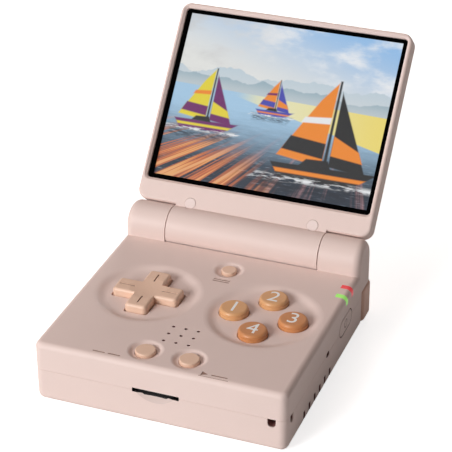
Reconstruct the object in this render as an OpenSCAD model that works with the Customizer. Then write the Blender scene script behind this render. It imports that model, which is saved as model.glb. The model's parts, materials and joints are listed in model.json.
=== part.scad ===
// Clamshell handheld game console, open, with its keys, hinge and inner parts.
// X runs to the right, Y from the front face to the hinge, Z up. The origin is the middle of the underside.
// Places on the case are given from its middle in X and from its front face in Y.
// Places on the lid are given from the hinge axis: along the lid, and square to it towards the user.

/* [Case] */
// Width of the case and of the lid
case_w = 78; // [77:0.5:84]
// Depth of the case, from its front face to the back of the hinge
case_d = 80; // [79:0.5:86]
// Height of the top face of the case
case_h = 19.7; // [19.2:0.1:20.4]
// Height of the upper shell's sides, from the seam to the top face
upper_h = 8.9; // [8.9:0.1:9.4]
// Thickness of the side walls and of the floor
wall = 1.6; // [1.3:0.1:1.8]
// Thickness of the top face
top_wall = 2.4; // [2.1:0.1:2.5]
// Radius of the upright corners
corner_r = 2.4; // [1.9:0.1:3]
// Radius of the edge round the top face
top_edge_r = 1.8; // [0.8:0.1:2]
// Radius of the edge round the underside
bottom_edge_r = 2.2; // [1:0.1:2.4]
// Width and depth of the seam groove between two shells
seam = 0.1; // [0.1:0.05:0.25]

/* [Hinge] */
// Radius of the hinge barrel and of the ears
hinge_r = 6.5; // [6.2:0.1:6.8]
// Height of the hinge axis above the top face
axis_rise = 2.5; // [2.5:0.1:3.4]
// Length of each ear along the axis
ear_len = 13.5; // [11:0.1:14]
// Gap between the barrel and the ears, at each end
barrel_end_gap = 0.3; // [0.2:0.05:0.5]
// Gap between the barrel and the case under it
barrel_gap = 0.35; // [0.3:0.05:0.5]
// Angle from the closed lid to the open lid
open_angle = 130.25; // [95:0.25:145]
// Radius of the two hinge shafts
shaft_r = 2; // [1.5:0.1:2.4]
// Running clearance round the shafts and the pins
running_gap = 0.05; // [0.02:0.01:0.1]
// Radius of the bore through the barrel
barrel_bore_r = 4.6; // [4:0.1:4.9]
// Depth of the shaft's hole in each ear
shaft_seat = 10; // [8:0.1:10.5]
// Length of each bush in the barrel
bush_len = 7.4; // [6:0.1:9]

/* [Lid] */
// Thickness of the lid
lid_t = 6.8; // [6:0.1:6.8]
// Thickness of the front frame of the lid
bezel_t = 3; // [2.7:0.1:3.2]
// Thickness of the back of the lid
lid_wall = 1.2; // [1:0.1:1.3]
// Thickness of the side walls of the lid's back tray
lid_side_wall = 1.3; // [1:0.1:1.6]
// Gap between the closed lid and the case
lid_gap = 0.6; // [0.6:0.1:0.9]
// Gap between the lid's lower edge and the ears
lid_ear_gap = 0.3; // [0.25:0.05:0.6]
// How far the closed lid ends behind the front face
lid_setback = 0.3; // [0.3:0.05:1]
// Corner radius of the lid
lid_corner_r = 3.3; // [2.6:0.1:4]
// Edge radius on the user's side of the lid
lid_front_edge_r = 0.9; // [0.4:0.1:1]
// Edge radius on the back of the lid
lid_back_edge_r = 2; // [1:0.1:2.2]

/* [Screen] */
// Frame beside the cover glass
frame_side = 1.6; // [1.6:0.1:2]
// Frame above the cover glass
frame_top = 1.7; // [1.4:0.1:1.8]
// Frame below the cover glass
frame_low = 7.2; // [7.15:0.05:8.35]
// Thickness of the cover glass
glass_t = 0.8; // [0.6:0.1:0.9]
// Depth of the glass under the frame
glass_recess = 1.6; // [1.6:0.1:1.7]
// Width of the bevel round the cover glass
glass_bevel = 0.8; // [0.5:0.1:1]
// Corner radius of the cover glass
glass_corner_r = 1.2; // [0.5:0.1:1.5]
// Gap round the cover glass
glass_gap = 0.08; // [0.05:0.01:0.15]
// How far the cover glass reaches past the display panel at each side
ledge_side = 1.1; // [0.9:0.1:1.8]
// How far the cover glass reaches past the display panel at each end
ledge_end = 1; // [0.9:0.1:1.6]
// Thickness of the display panel
panel_t = 2.4; // [2:0.1:2.5]
// Gap round the display panel
panel_gap = 0.3; // [0.2:0.05:0.4]

/* [Cross key] */
// Place of the cross key, left of the middle
dpad_x = 18.3; // [17.8:0.1:19.2]
// Place of the cross key behind the front face
dpad_y = 37.1; // [35:0.1:38]
// Span of the cross key
dpad_span = 21; // [19:0.1:21.6]
// Width of each arm
dpad_arm_w = 7; // [6:0.1:7.6]
// Height of the cross key above the top face
dpad_rise = 1.45; // [1:0.05:1.45]
// Gap round the cross key
dpad_gap = 0.4; // [0.35:0.05:0.6]
// Radius of the disc under the cross key
dpad_disc_r = 11.5; // [11.2:0.1:12]
// Radius of the well round the cross key
dpad_well_r = 17; // [15:0.1:17.2]

/* [Face buttons] */
// Place of the button group, right of the middle
face_x = 18.8; // [18.4:0.1:19.2]
// Place of the button group behind the front face
face_y = 36.8; // [34.5:0.1:37]
// Distance of each button from the middle of the group
face_offset = 9.3; // [9:0.1:9.5]
// Radius of a face button
face_r = 4.5; // [4.2:0.05:4.6]
// Height of the face buttons above the top face
face_rise = 1.1; // [0.5:0.05:1.2]
// Radius of the well round the face buttons
face_well_r = 18; // [16:0.1:18.2]
// Depth of both large wells
well_depth = 1; // [0.5:0.05:1.1]
// Width of the soft slope at the rim of a large well
well_slope = 4.4; // [2.4:0.1:4.6]

/* [Small buttons] */
// Distance of the menu button in front of the hinge
menu_back = 9.3; // [9.2:0.1:11]
// Radius of the menu button
menu_r = 2.4; // [2.1:0.05:2.7]
// Radius of the menu button's well
menu_well_r = 4.9; // [4:0.1:4.9]
// Distance of the two front buttons from the middle
pair_x = 6.8; // [6.5:0.1:7.5]
// Place of the two front buttons behind the front face
pair_y = 7.8; // [7:0.1:8]
// Radius of the two front buttons
pair_r = 3.05; // [2.7:0.05:3.2]
// Radius of the two front buttons' wells
pair_well_r = 5.5; // [4.7:0.1:5.5]
// Height of the small buttons above the top face
small_rise = 0.25; // [0:0.05:0.3]
// Depth of the small wells
small_well_depth = 0.9; // [0.4:0.05:1]
// Gap round every round button
key_gap = 0.2; // [0.1:0.05:0.3]
// Travel of the buttons on the top face
key_travel = 0.9; // [0.5:0.05:0.9]

/* [Side and back keys] */
// Place of the power button behind the front face
power_y = 54.4; // [53:0.1:55]
// Height of the middle of the power button above the seam
power_lift = 0.2; // [0:0.1:0.4]
// Gap round the power button
power_gap = 0.4; // [0.2:0.05:0.45]
// Length of the power button
power_l = 11.8; // [10:0.1:12]
// Height of the power button's face
power_h = 5; // [4.6:0.1:5.6]
// Travel of the power button
power_travel = 0.5; // [0.3:0.05:0.5]
// Length of the outer shoulder keys
shoulder_l = 14; // [13:0.1:14.2]
// Depth of the outer shoulder keys along the side of the case
shoulder_d = 9; // [8.6:0.1:9.2]
// Room over the shoulder keys
shoulder_room = 1.45; // [1.35:0.05:2.25]
// Height of the underside of the shoulder keys
shoulder_low = 0.8; // [0.8:0.1:1.2]
// How far the shoulder keys stand out at the back
shoulder_proud = 0.4; // [0.2:0.05:0.6]
// How far the outer shoulder keys stand out at the sides
shoulder_out = 0.35; // [0.2:0.05:0.5]
// Gap in front of the outer shoulder keys
shoulder_front_gap = 0.9; // [0.8:0.05:1.1]
// Radius of the pin in each outer shoulder key
shoulder_pin_r = 1; // [0.8:0.05:1.2]
// Length of the inner shoulder keys
inner_key_l = 10.6; // [9:0.1:10.8]
// Length of the volume rocker
volume_l = 14; // [12:0.1:15]
// Height of the volume rocker's face
volume_h = 3; // [2.4:0.1:3.2]
// Place of the volume rocker behind the front face
volume_y = 52; // [50:0.1:54]
// Height of the middle of the volume rocker above the circuit board
volume_lift = 0.4; // [0.3:0.1:0.6]

/* [Holes and slots] */
// Width of the card slot
slot_w = 14.5; // [13.5:0.1:15]
// Height of the card slot
slot_h = 1.35; // [1.2:0.05:1.5]
// Depth of the middle of the card slot below the seam
slot_drop = 0.02; // [0:0.02:0.2]
// Middle of the card slot, left of the middle of the case
slot_x = 0.75; // [0:0.05:1]
// Width of the finger notch under the slot
notch_w = 12; // [10:0.1:13]
// Height of the finger notch
notch_h = 2.65; // [2:0.05:3]
// Radius of the ball shape that scoops the finger notch
notch_ball_r = 28; // [26:1:50]
// Radius of a speaker hole
speaker_hole_r = 0.5; // [0.35:0.05:0.6]
// Distance between speaker holes
speaker_pitch = 3.9; // [3.4:0.1:4]
// Place of the speaker behind the front face
speaker_y = 18.2; // [17:0.1:18.5]
// Width of a vent slot
vent_w = 1.7; // [1.2:0.1:2]
// Height of a vent slot
vent_h = 3.4; // [2.4:0.1:3.6]
// Distance between vent slots
vent_pitch = 4.7; // [4:0.1:4.8]
// Number of vent slots
vent_count = 6; // [3:1:6]
// Place of the first vent slot behind the front face
vent_y = 15.7; // [15:0.1:17.5]
// Height of the lower end of the vent slots
vent_z = 1; // [0.9:0.1:1.2]
// Width of the strap tunnel in the front right corner
strap_w = 2.5; // [2:0.1:2.7]
// Height of the strap tunnel
strap_h = 2.7; // [2.3:0.1:3]
// Place of the strap tunnel's two mouths from the corner
strap_in = 4.5; // [4.2:0.1:5]
// Width of the reset hole
reset_w = 0.7; // [0.7:0.05:1.1]
// Height of the reset hole
reset_h = 1.7; // [1.3:0.1:1.9]
// Place of the reset hole behind the front face
reset_y = 36.9; // [36.6:0.1:37.4]
// Radius of the headphone bore
jack_r = 1.8; // [1.76:0.01:1.85]
// Place of the headphone socket behind the front face
jack_y = 30; // [28:0.1:31]
// Depth of the headphone bore's middle below the circuit board
jack_drop = 3.2; // [3.2:0.1:3.4]
// Width of a light pipe
pipe_w = 2; // [1.2:0.1:2]
// Distance of the red light pipe in front of the hinge
pipe_red_back = 6.4; // [5.5:0.1:7]
// Distance of the green light pipe in front of the hinge
pipe_green_back = 11.8; // [11:0.1:12.4]

/* [Inside] */
// Depth of the circuit board's underside below the top face
board_drop = 8.2; // [8:0.1:8.2]
// Thickness of the circuit board
board_t = 1; // [0.8:0.1:1]
// Place of the battery behind the front face
battery_y = 20.5; // [20:0.5:26]
// Gap between the battery and the switches behind it
battery_back_gap = 6.1; // [5.6:0.1:12]
// Gap between the battery and the headphone socket
battery_side_gap = 1.1; // [0.8:0.1:4]
// Gap between the battery and the heat spreader
battery_top_gap = 1.7; // [1.4:0.1:3]
// Radius of a screw post
post_r = 3; // [2.8:0.1:3.1]
// Radius of a case screw's thread
screw_r = 0.9; // [0.8:0.05:1]
// Radius of a case screw's head
screw_head_r = 1.9; // [1.7:0.05:2]
// Radius of a rubber plug on the lid
plug_r = 1.85; // [1.6:0.05:1.9]
// Distance of the rubber plugs from the middle
plug_x = 20.5; // [20:0.1:21.5]

/* [Hidden] */

$fn = 64;
over = 1;
fit = 0.05;
seat_gap = 0.3;

shell_pink = "#e3ccc4";
key_beige = "#d3b096";
key_tan = "#c98f5b";
key_brown = "#b98a73";
board_green = "#2f6b4a";
steel = "#b9bcc0";
dark = "#26262a";
silicone = "#d9d4cc";

half_w = case_w / 2;
front = -case_d / 2;
back = case_d / 2;
axis_y = back - hinge_r;
axis_h = case_h + axis_rise;
parting_h = case_h - upper_h;
hinge_y = case_d - 2 * hinge_r;
ear_in = half_w - ear_len;
ear_front = axis_y - hinge_r;
barrel_half = ear_in - barrel_end_gap;
pocket_r = hinge_r + barrel_gap;
ceiling = case_h - top_wall;
rear_ceiling = axis_h - pocket_r - wall;
rear_lip = 1.45;
rear_wall_top = axis_h - pocket_r + rear_lip;
board_z = case_h - board_drop;
board_top = board_z + board_t;
rear_hollow_y = ear_front - wall;

// Seats of the keys under the top face
flange_t = 0.9;
flange_w = 0.8;
flange_top = ceiling - seat_gap;
flange_low = flange_top - flange_t;
mat_t = 0.6;
mat_top = board_top + mat_t;
dome_h = 0.3;
stem_low = mat_top + dome_h + key_travel + 0.15;
crown_step = 0.15;
crown_low = 0.1;

// The lid, from the hinge axis
inner_n = axis_h - case_h - lid_gap;
outer_n = inner_n - lid_t;
split_n = inner_n - bezel_t;
lid_low = hinge_r + lid_ear_gap;
lid_high = axis_y - front - lid_setback;
lid_len = lid_high - lid_low;
lid_mid = (lid_high + lid_low) / 2;
glass_n = inner_n - glass_recess;
glass_w = case_w - 2 * frame_side;
glass_l = lid_len - frame_top - frame_low;
panel_w = glass_w - 2 * ledge_side;
panel_l = glass_l - 2 * ledge_end;
glass_high = lid_high - frame_top;
glass_mid = glass_high - glass_l / 2;
plug_s = lid_low + 0.8;
plug_depth = 0.8;
lid_head_r = 1.4;
lid_screw_r = 0.7;
lid_post_r = 2;

// The cross key
dpad_disc_low = board_top + 2.8;
dpad_disc_t = 1.2;
ball_r = 1.6;
ball_z = board_top + ball_r + fit;
ball_gap = 0.1;
dome_r = 2.4;
dome_at = 8;
dimple_r = 42;
dimple_depth = 0.4;
arm_line_in = 4.4;
arm_line_l = [5, 4.1];
arm_line_w = 0.45;
arm_line_depth = 0.3;

// The outer shoulder keys
shoulder_top = rear_ceiling - shoulder_room;
shoulder_in = half_w - shoulder_l;
shoulder_back = back + shoulder_proud;
shoulder_front = shoulder_back - shoulder_d;
shoulder_pin_x = shoulder_in + shoulder_pin_r + 1;
shoulder_pin_y = shoulder_front + 3.1;
shoulder_slack = 0.3;
shoulder_corner_r = 2.2;
pocket_front = shoulder_front - shoulder_front_gap;
rib = 0.75;
rib_gap = 0.35;
inner_key_out = shoulder_in - rib - 2 * rib_gap;
inner_key_in = inner_key_out - inner_key_l;
inner_key_flange = 0.9;
switch_front = rear_hollow_y + 1.2;
switch_gap = 0.7;
switch_h = 3.6;
switch_in = 4;

// The strap tunnel and its corner block
block = strap_in + strap_w / 2 + wall;

// The screw posts, as places right of the middle and behind the front face
post_side = 10.5;
post_end = 5.5;
post_mid_side = 5;
post_mid_y = 42.5;
posts = [[half_w - post_side, post_end], [half_w - post_mid_side, post_mid_y],
    [half_w - post_side, hinge_y - post_end]];
screw_gap = 0.1;
head_depth = 2;
head_t = 1.2;

// The keys and lights that follow the hinge or the seam
menu_y = hinge_y - menu_back;
pipe_red_y = hinge_y - pipe_red_back;
pipe_green_y = hinge_y - pipe_green_back;
power_z = parting_h + power_lift;
volume_z = board_top + volume_lift;

// The card and its socket
slot_z = parting_h - slot_drop;
card_w = 11;
card_l = 15;
card_t = 0.75;
card_in = 0.5;
socket_in = 2.2;

// The USB socket, a shell with rounded ends
usb_w = 8.94;
usb_h = 3.2;
usb_wall = 0.3;
usb_l = 7.6;
usb_set = 0.8;
usb_gap = 0.25;
tongue_half = inner_key_in - inner_key_flange - 0.5;
usb_z = board_z - usb_h / 2;

volume_out = 0.65;
key_depth = 1.1;
power_mark_depth = 0.3;
switch_reach = 0.6;
power_switch_d = 2;

// The headphone socket, the chip and the battery beside them
jack_l = 11.6;
jack_in = 0.2;
jack_z = board_z - jack_drop;
chip_y = 45;
chip_w = 12;
chip_t = 1;
spreader_w = 26;
spreader_l = 22;
spreader_t = 0.4;
battery_w = 2 * (half_w - wall - jack_in - jack_l - battery_side_gap);
battery_l = switch_front - front - battery_y - battery_back_gap;
battery_t = board_z - chip_t - spreader_t - battery_top_gap - wall;
speaker_r = 6.3;
speaker_t = 3.6;
volume_switch_l = 10;

// The sunk marks beside the small keys
mark_depth = 0.15;
mark_w = 0.5;
mark_y = 2.5;
menu_mark_at = 6.2;
menu_mark_l = 5.4;
select_mark_x = [-19.2, -14.4];
select_mark_l = 3.9;
start_mark_x = 13.6;
start_bar_x = 18;
start_bar_l = 5;

// A section w wide and h high that stands on y = 0, with its upper and lower corners rounded
module soft_section(w, h, top_r, bottom_r) {
    translate([-w / 2, bottom_r]) square([w, h - top_r - bottom_r]);
    if (top_r > 0) translate([0, h - top_r]) rim_section(w, top_r, 0);
    if (bottom_r > 0) rim_section(w, bottom_r, bottom_r);
}

// The r high strip of such a section that holds two rounded corners, whose centres are at height middle
module rim_section(w, r, middle) {
    translate([r - w / 2, 0]) square([w - 2 * r, r]);
    intersection() {
        for (side = [-1, 1]) translate([side * (w / 2 - r), middle]) circle(r = r);
        translate([-w / 2, 0]) square([w, r]);
    }
}

// The right half of that section, for turning round its middle
module soft_half(r, h, top_r, bottom_r) {
    intersection() {
        soft_section(2 * r, h, top_r, bottom_r);
        square([r, h]);
    }
}

// A block w by d by h that stands on z = 0, with upright corners of radius r and rounded rims
module soft_box(w, d, h, r, top_r = 0, bottom_r = 0) {
    for (sx = [-1, 1], sy = [-1, 1])
        translate([sx * (w / 2 - r), sy * (d / 2 - r), 0]) rotate_extrude() soft_half(r, h, top_r, bottom_r);
    translate([r - w / 2, 0, 0]) rotate([90, 0, 90]) linear_extrude(w - 2 * r)
        soft_section(d, h, top_r, bottom_r);
    translate([0, d / 2 - r, 0]) rotate([90, 0, 0]) linear_extrude(d - 2 * r)
        soft_section(w, h, top_r, bottom_r);
}

// A cut with upright corners of radius r at z = 0 that widens by h on every side up to z = h
module bevel_box(w, d, h, r) {
    for (sx = [-1, 1], sy = [-1, 1])
        translate([sx * (w / 2 - r), sy * (d / 2 - r), 0]) cylinder(r1 = r, r2 = r + h, h = h);
    translate([r - w / 2, 0, 0]) rotate([90, 0, 90]) linear_extrude(w - 2 * r) bevel_section(d, h);
    translate([0, d / 2 - r, 0]) rotate([90, 0, 0]) linear_extrude(d - 2 * r) bevel_section(w, h);
}

// The section of that cut
module bevel_section(w, h) {
    polygon([[-w / 2, 0], [w / 2, 0], [w / 2 + h, h], [-w / 2 - h, h]]);
}

// A plain block between two corners
module block_between(low, high) {
    translate(low) cube(high - low);
}

// A bar with round ends, l long in X and w wide in Y, from z = 0 to h
module round_bar(l, w, h) {
    linear_extrude(h) {
        square([l - w, w], center = true);
        for (side = [-1, 1]) translate([side * (l - w) / 2, 0]) circle(d = w);
    }
}

// A bar with round ends that runs through a side wall, l along Y and w along Z, from x = 0 to h
module side_bar(l, w, h) {
    rotate([90, 0, 90]) round_bar(l, w, h);
}

// The soft dish round a key, cut down from z = 0: a flat floor and two equal arcs that meet in a slope
module well(r, slope, depth) {
    turn = 2 * atan(depth / slope);
    arc_r = slope / (2 * sin(turn));
    rotate_extrude() {
        translate([0, -depth]) square([r - slope, depth + over]);
        intersection() {
            translate([r - slope, arc_r - depth]) circle(r = arc_r);
            translate([r - slope, -depth]) square([slope / 2, depth + min(over, arc_r - depth)]);
        }
        difference() {
            translate([r - slope / 2, -depth]) square([slope / 2, depth + min(over, arc_r - depth)]);
            translate([r, -arc_r]) circle(r = arc_r);
        }
    }
}

// Puts its children on the lid: X along the axis, Y along the lid, Z towards the user
module on_lid() {
    translate([0, axis_y, axis_h]) rotate([180 - open_angle, 0, 0]) children();
}

// Puts its children at a place on the case, given from the middle and from the front face
module on_case(x, y, z = 0) {
    translate([x, front + y, z]) children();
}

// Puts its children at the four face button places
module at_face(direction) {
    turn = [direction[0] * face_offset, direction[1] * face_offset];
    on_case(face_x + turn[0], face_y + turn[1]) children();
}

FACE_SIDES = [[-1, 0], [0, 1], [1, 0], [0, -1]];

// Puts its children at the six screws
module at_posts() {
    for (side = [-1, 1], place = posts) on_case(side * place[0], place[1]) children();
}

// Puts its children at the three small keys
module at_small_keys() {
    on_case(0, menu_y) children();
    for (side = [-1, 1]) on_case(side * pair_x, pair_y) children();
}

// The openings that both case shells share
module shell_openings() {
    // card slot
    on_case(-slot_x, 0) block_between([-slot_w / 2, -over, slot_z - slot_h / 2],
        [slot_w / 2, socket_in + over, slot_z + slot_h / 2]);
    // power button
    on_case(half_w - 2 * wall, power_y, power_z)
        side_bar(power_l + 2 * power_gap, power_h + 2 * power_gap, 2 * wall + over);
    // reset hole
    on_case(half_w - 2 * wall, reset_y, power_z - 0.4)
        side_bar(reset_w, reset_h, 2 * wall + over);
    // headphone socket
    on_case(-half_w - over, jack_y, jack_z) rotate([0, 90, 0])
        cylinder(r = jack_r + 1.1, h = wall + over + 0.15);
    // USB socket
    translate([0, back - wall - over, usb_z]) rotate([-90, 0, 0])
        round_bar(usb_w + 2 * usb_gap, usb_h + 2 * usb_gap, wall + 2 * over);
    // shoulder keys
    for (side = [0, 1]) mirror([side, 0, 0]) {
        block_between([shoulder_in - rib_gap, pocket_front, shoulder_low - shoulder_slack],
            [half_w + over, back + over, shoulder_top + shoulder_slack]);
        block_between([inner_key_in - shoulder_slack, back - wall - over, shoulder_low + wall],
            [inner_key_out + rib_gap, back + over, shoulder_top + shoulder_slack]);
    }
}

module bottom_shell() color(shell_pink) difference() {
    union() {
        difference() {
            union() {
                soft_box(case_w, case_d, parting_h - seam, corner_r, 0, bottom_edge_r);
                translate([0, 0, parting_h / 2])
                    soft_box(case_w - 2 * seam, case_d - 2 * seam, parting_h / 2, corner_r - seam);
            }
            block_between([wall - half_w, front + wall, wall],
                [half_w - wall, back - wall, parting_h + over]);
        }
        // corner block round the strap tunnel
        intersection() {
            soft_box(case_w - 2 * seam, case_d - 2 * seam, parting_h, corner_r, 0, bottom_edge_r);
            block_between([half_w - block, front, 0], [half_w, front + block, parting_h]);
        }
        at_posts() translate([0, 0, wall / 2]) cylinder(r = post_r, h = board_z - wall / 2);
    }
    shell_openings();
    // finger notch, a shallow scoop under the slot
    arc = (pow(notch_w / 2, 2) + pow(notch_h, 2)) / (2 * notch_h);
    slot_low = slot_z - slot_h / 2;
    intersection() {
        on_case(-slot_x - 0.2, -sqrt(pow(notch_ball_r, 2) - arc * arc), slot_low - notch_h + arc)
            sphere(r = notch_ball_r);
        on_case(-slot_x, 0) block_between([-slot_w / 2, -over, slot_low - notch_h - over],
            [slot_w / 2, 2 * over, slot_low + slot_h / 4]);
    }
    // strap tunnel, two mouths that meet inside the corner
    strap_floor = parting_h - strap_h + strap_w / 2;
    translate([half_w - strap_in, front + strap_in + strap_w / 2, 0]) strap_cut(strap_floor);
    translate([half_w - strap_in - strap_w / 2, front + strap_in, 0]) rotate([0, 0, 90])
        strap_cut(strap_floor);
    // vents
    for (i = [0 : vent_count - 1]) on_case(half_w, vent_y + i * vent_pitch)
        block_between([-wall - over, -vent_w / 2, vent_z], [over, vent_w / 2, vent_z + vent_h]);
    // screws
    at_posts() {
        translate([0, 0, -over]) cylinder(r = screw_head_r + 2 * screw_gap, h = over + head_depth);
        cylinder(r = screw_r + screw_gap, h = board_z + over);
    }
}

// One leg of the strap tunnel, open at its top, with a round floor
module strap_cut(floor_z) {
    length = strap_in + strap_w / 2 + over;
    translate([0, 0, floor_z]) rotate([90, 0, 0]) cylinder(d = strap_w, h = length);
    translate([-strap_w / 2, -length, floor_z]) cube([strap_w, length, parting_h - floor_z + over]);
}

// The outline of an ear seen from above, with its outer corners rounded
module ear_outline() {
    translate([ear_in, ear_front]) square([ear_len - corner_r, 2 * hinge_r]);
    translate([half_w - 2 * corner_r, ear_front + corner_r])
        square([2 * corner_r, 2 * (hinge_r - corner_r)]);
    for (y = [ear_front + corner_r, back - corner_r])
        translate([half_w - corner_r, y]) circle(r = corner_r);
}

module ear() {
    translate([ear_in, axis_y, axis_h]) rotate([0, 90, 0]) rotate_extrude()
        soft_half(hinge_r, ear_len, corner_r, 0);
    translate([0, 0, parting_h + over]) linear_extrude(axis_h - parting_h - over) ear_outline();
}

module top_shell() color(shell_pink) difference() {
    union() {
        difference() {
            union() {
                translate([0, 0, parting_h])
                    soft_box(case_w, case_d, case_h - parting_h, corner_r, top_edge_r, 0);
                for (side = [0, 1]) mirror([side, 0, 0]) ear();
            }
            block_between([wall - half_w, front + wall, parting_h - over],
                [half_w - wall, rear_hollow_y, ceiling]);
            block_between([wall - half_w, rear_hollow_y - over, parting_h - over],
                [half_w - wall, back - wall, rear_ceiling]);
        }
        block_between([half_w - block, front + wall / 2, parting_h],
            [half_w - wall / 2, front + block, parting_h + wall]);
        at_posts() translate([0, 0, board_top])
            cylinder(r = post_r - 0.4, h = ceiling - board_top + over / 2);
    }
    // pocket for the hinge barrel, and the way out for the lid behind it
    translate([-ear_in, axis_y, axis_h]) rotate([0, 90, 0]) cylinder(r = pocket_r, h = 2 * ear_in);
    block_between([-ear_in, axis_y, rear_wall_top], [ear_in, back + over, axis_h + hinge_r]);
    for (side = [0, 1]) mirror([side, 0, 0])
        translate([ear_in - over, axis_y, axis_h]) rotate([0, 90, 0])
            cylinder(r = shaft_r, h = shaft_seat + over);
    // wells and key holes
    on_case(-dpad_x, dpad_y, case_h) well(dpad_well_r, well_slope, well_depth);
    on_case(face_x, face_y, case_h) well(face_well_r, well_slope, well_depth);
    on_case(0, menu_y, case_h) well(menu_well_r, menu_well_r - menu_r - 2 * key_gap, small_well_depth);
    for (side = [-1, 1]) on_case(side * pair_x, pair_y, case_h)
        well(pair_well_r, pair_well_r - pair_r - 2 * key_gap, small_well_depth);
    on_case(-dpad_x, dpad_y, ceiling - over)
        cross(dpad_span + 2 * dpad_gap, dpad_arm_w + 2 * dpad_gap, top_wall + 2 * over, 1, 0);
    for (side = FACE_SIDES) at_face(side) translate([0, 0, ceiling - over])
        cylinder(r = face_r + key_gap, h = top_wall + 2 * over);
    on_case(0, menu_y, ceiling - over) cylinder(r = menu_r + key_gap, h = top_wall + 2 * over);
    for (side = [-1, 1]) on_case(side * pair_x, pair_y, ceiling - over)
        cylinder(r = pair_r + key_gap, h = top_wall + 2 * over);
    // speaker holes
    for (i = [-1 : 1], j = [-1 : 1])
        on_case(i * speaker_pitch, speaker_y + j * speaker_pitch, ceiling - over)
            cylinder(r = speaker_hole_r, h = top_wall + 2 * over);
    shell_openings();
    on_case(-half_w - over, volume_y, volume_z)
        side_bar(volume_l + 2 * seat_gap, volume_h + 2 * seat_gap, 2 * wall + over);
    for (y = [pipe_red_y, pipe_green_y]) on_case(0, y) light_pipe(pipe_w, pipe_d);
    key_marks();
    at_posts() translate([0, 0, board_top - over]) cylinder(r = screw_r + fit, h = 4 + over);
}

// Plain sunk marks beside the small keys: three bars, one long bar, and a triangle with a bar
module key_marks() {
    translate([0, 0, case_h - mark_depth]) {
        for (i = [-1 : 1]) on_case(0, menu_y - menu_mark_at + i) round_bar(menu_mark_l, mark_w, over);
        for (x = select_mark_x) on_case(x, mark_y) round_bar(select_mark_l, mark_w, over);
        on_case(start_mark_x, mark_y) linear_extrude(over) polygon([[-1, -1], [1, 0], [-1, 1]]);
        on_case(start_bar_x, mark_y) round_bar(start_bar_l, mark_w, over);
    }
}

// A cross of two soft bars, standing on z = 0
module cross(span, arm, h, r, top_r) {
    soft_box(span, arm, h, r, top_r, 0);
    soft_box(arm, span, h, r, top_r, 0);
}

// A strip w wide that wraps over the top right edge of the case
pipe_top = 3.6;
pipe_side = 2.7;
pipe_d = 1.2;
module light_pipe(w, d) {
    translate([0, w / 2, 0]) rotate([90, 0, 0]) linear_extrude(w) difference() {
        intersection() {
            soft_section(case_w, case_h, top_edge_r, 0);
            translate([half_w - pipe_top, case_h - pipe_side]) square([pipe_top, pipe_side]);
        }
        translate([half_w - pipe_top - over, case_h - pipe_side - over])
            square([pipe_top + over - d, pipe_side + over - d]);
    }
}

module light_pipe_red() color("#d2484c") on_case(0, pipe_red_y) light_pipe(pipe_w - 2 * fit, pipe_d);

module light_pipe_green() color("#7fd65e") on_case(0, pipe_green_y) light_pipe(pipe_w - 2 * fit, pipe_d);

// The board: a main field, a tongue to the back socket, and a notch at the strap corner
module main_board() color(board_green) {
    edge = half_w - wall - 2;
    difference() {
        translate([0, 0, board_z]) union() {
            block_between([-edge, front + wall + 1.5, 0], [edge, pocket_front - switch_gap, board_t]);
            block_between([-tongue_half, 0, 0], [tongue_half, back - wall - 0.5, board_t]);
        }
        block_between([half_w - block - 0.6, front, 0], [half_w, front + block + 0.6, ceiling]);
        at_posts() cylinder(r = screw_r + 2 * screw_gap, h = ceiling);
    }
}

module processor() color(dark) on_case(0, chip_y, board_z - chip_t)
    translate([-chip_w / 2, -chip_w / 2, 0]) cube([chip_w, chip_w, chip_t]);

module heat_spreader() color(steel) on_case(0, chip_y, board_z - chip_t - spreader_t)
    translate([-spreader_w / 2, -spreader_l / 2, 0]) cube([spreader_w, spreader_l, spreader_t]);

module battery() color("#8f959c") on_case(0, battery_y, wall) translate([0, battery_l / 2, 0])
    soft_box(battery_w, battery_l, battery_t, 1.2, 0.8, 0.8);

module speaker() color(dark) on_case(0, speaker_y, ceiling) difference() {
    translate([0, 0, -speaker_t]) cylinder(r = speaker_r, h = speaker_t);
    translate([0, 0, -0.7]) cylinder(r = speaker_r - 0.9, h = 0.7 + over);
}

module card_socket() color(steel) on_case(-slot_x, socket_in) difference() {
    block_between([-card_w / 2 - 1.5, 0, slot_z - card_t / 2 - 0.5],
        [card_w / 2 + 1.5, card_l + 0.3, board_z]);
    block_between([-card_w / 2 - 0.2, -over, slot_z - card_t / 2 - 0.12],
        [card_w / 2 + 0.2, card_l - 1, slot_z + card_t / 2 + 0.12]);
}

module memory_card() color(dark) on_case(-slot_x, card_in, slot_z - card_t / 2) union() {
    translate([-card_w / 2, 0, 0]) cube([card_w - 1.3, card_l, card_t]);
    translate([-card_w / 2, 0, 0]) cube([card_w, card_l * 0.42, card_t]);
}

module usb_socket() color(steel) translate([0, back - usb_set, usb_z]) rotate([90, 0, 0]) {
    difference() {
        round_bar(usb_w, usb_h, usb_l);
        translate([0, 0, -over]) round_bar(usb_w - 2 * usb_wall, usb_h - 2 * usb_wall, usb_l);
    }
    translate([-3.3, -0.35, 0.8]) cube([6.6, 0.7, usb_l - 0.9]);
}

jack_body = 2 * jack_drop;
module headphone_socket() color(dark) on_case(wall - half_w + jack_in, jack_y, jack_z) difference() {
    translate([0, -jack_body / 2, -jack_body / 2]) cube([jack_l, jack_body, jack_body]);
    translate([-over, 0, 0]) rotate([0, 90, 0]) cylinder(r = jack_r, h = jack_l - 0.8 + over);
}

module dpad_membrane() color(silicone) on_case(-dpad_x, dpad_y, board_top) difference() {
    union() {
        cylinder(r = dpad_disc_r + 1, h = mat_t);
        for (side = FACE_SIDES) translate([side[0] * dome_at, side[1] * dome_at, 0])
            cylinder(r = dome_r, h = mat_t + 0.8);
    }
    translate([0, 0, -over]) cylinder(r = dome_r, h = mat_t + 2 * over);
}

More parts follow.
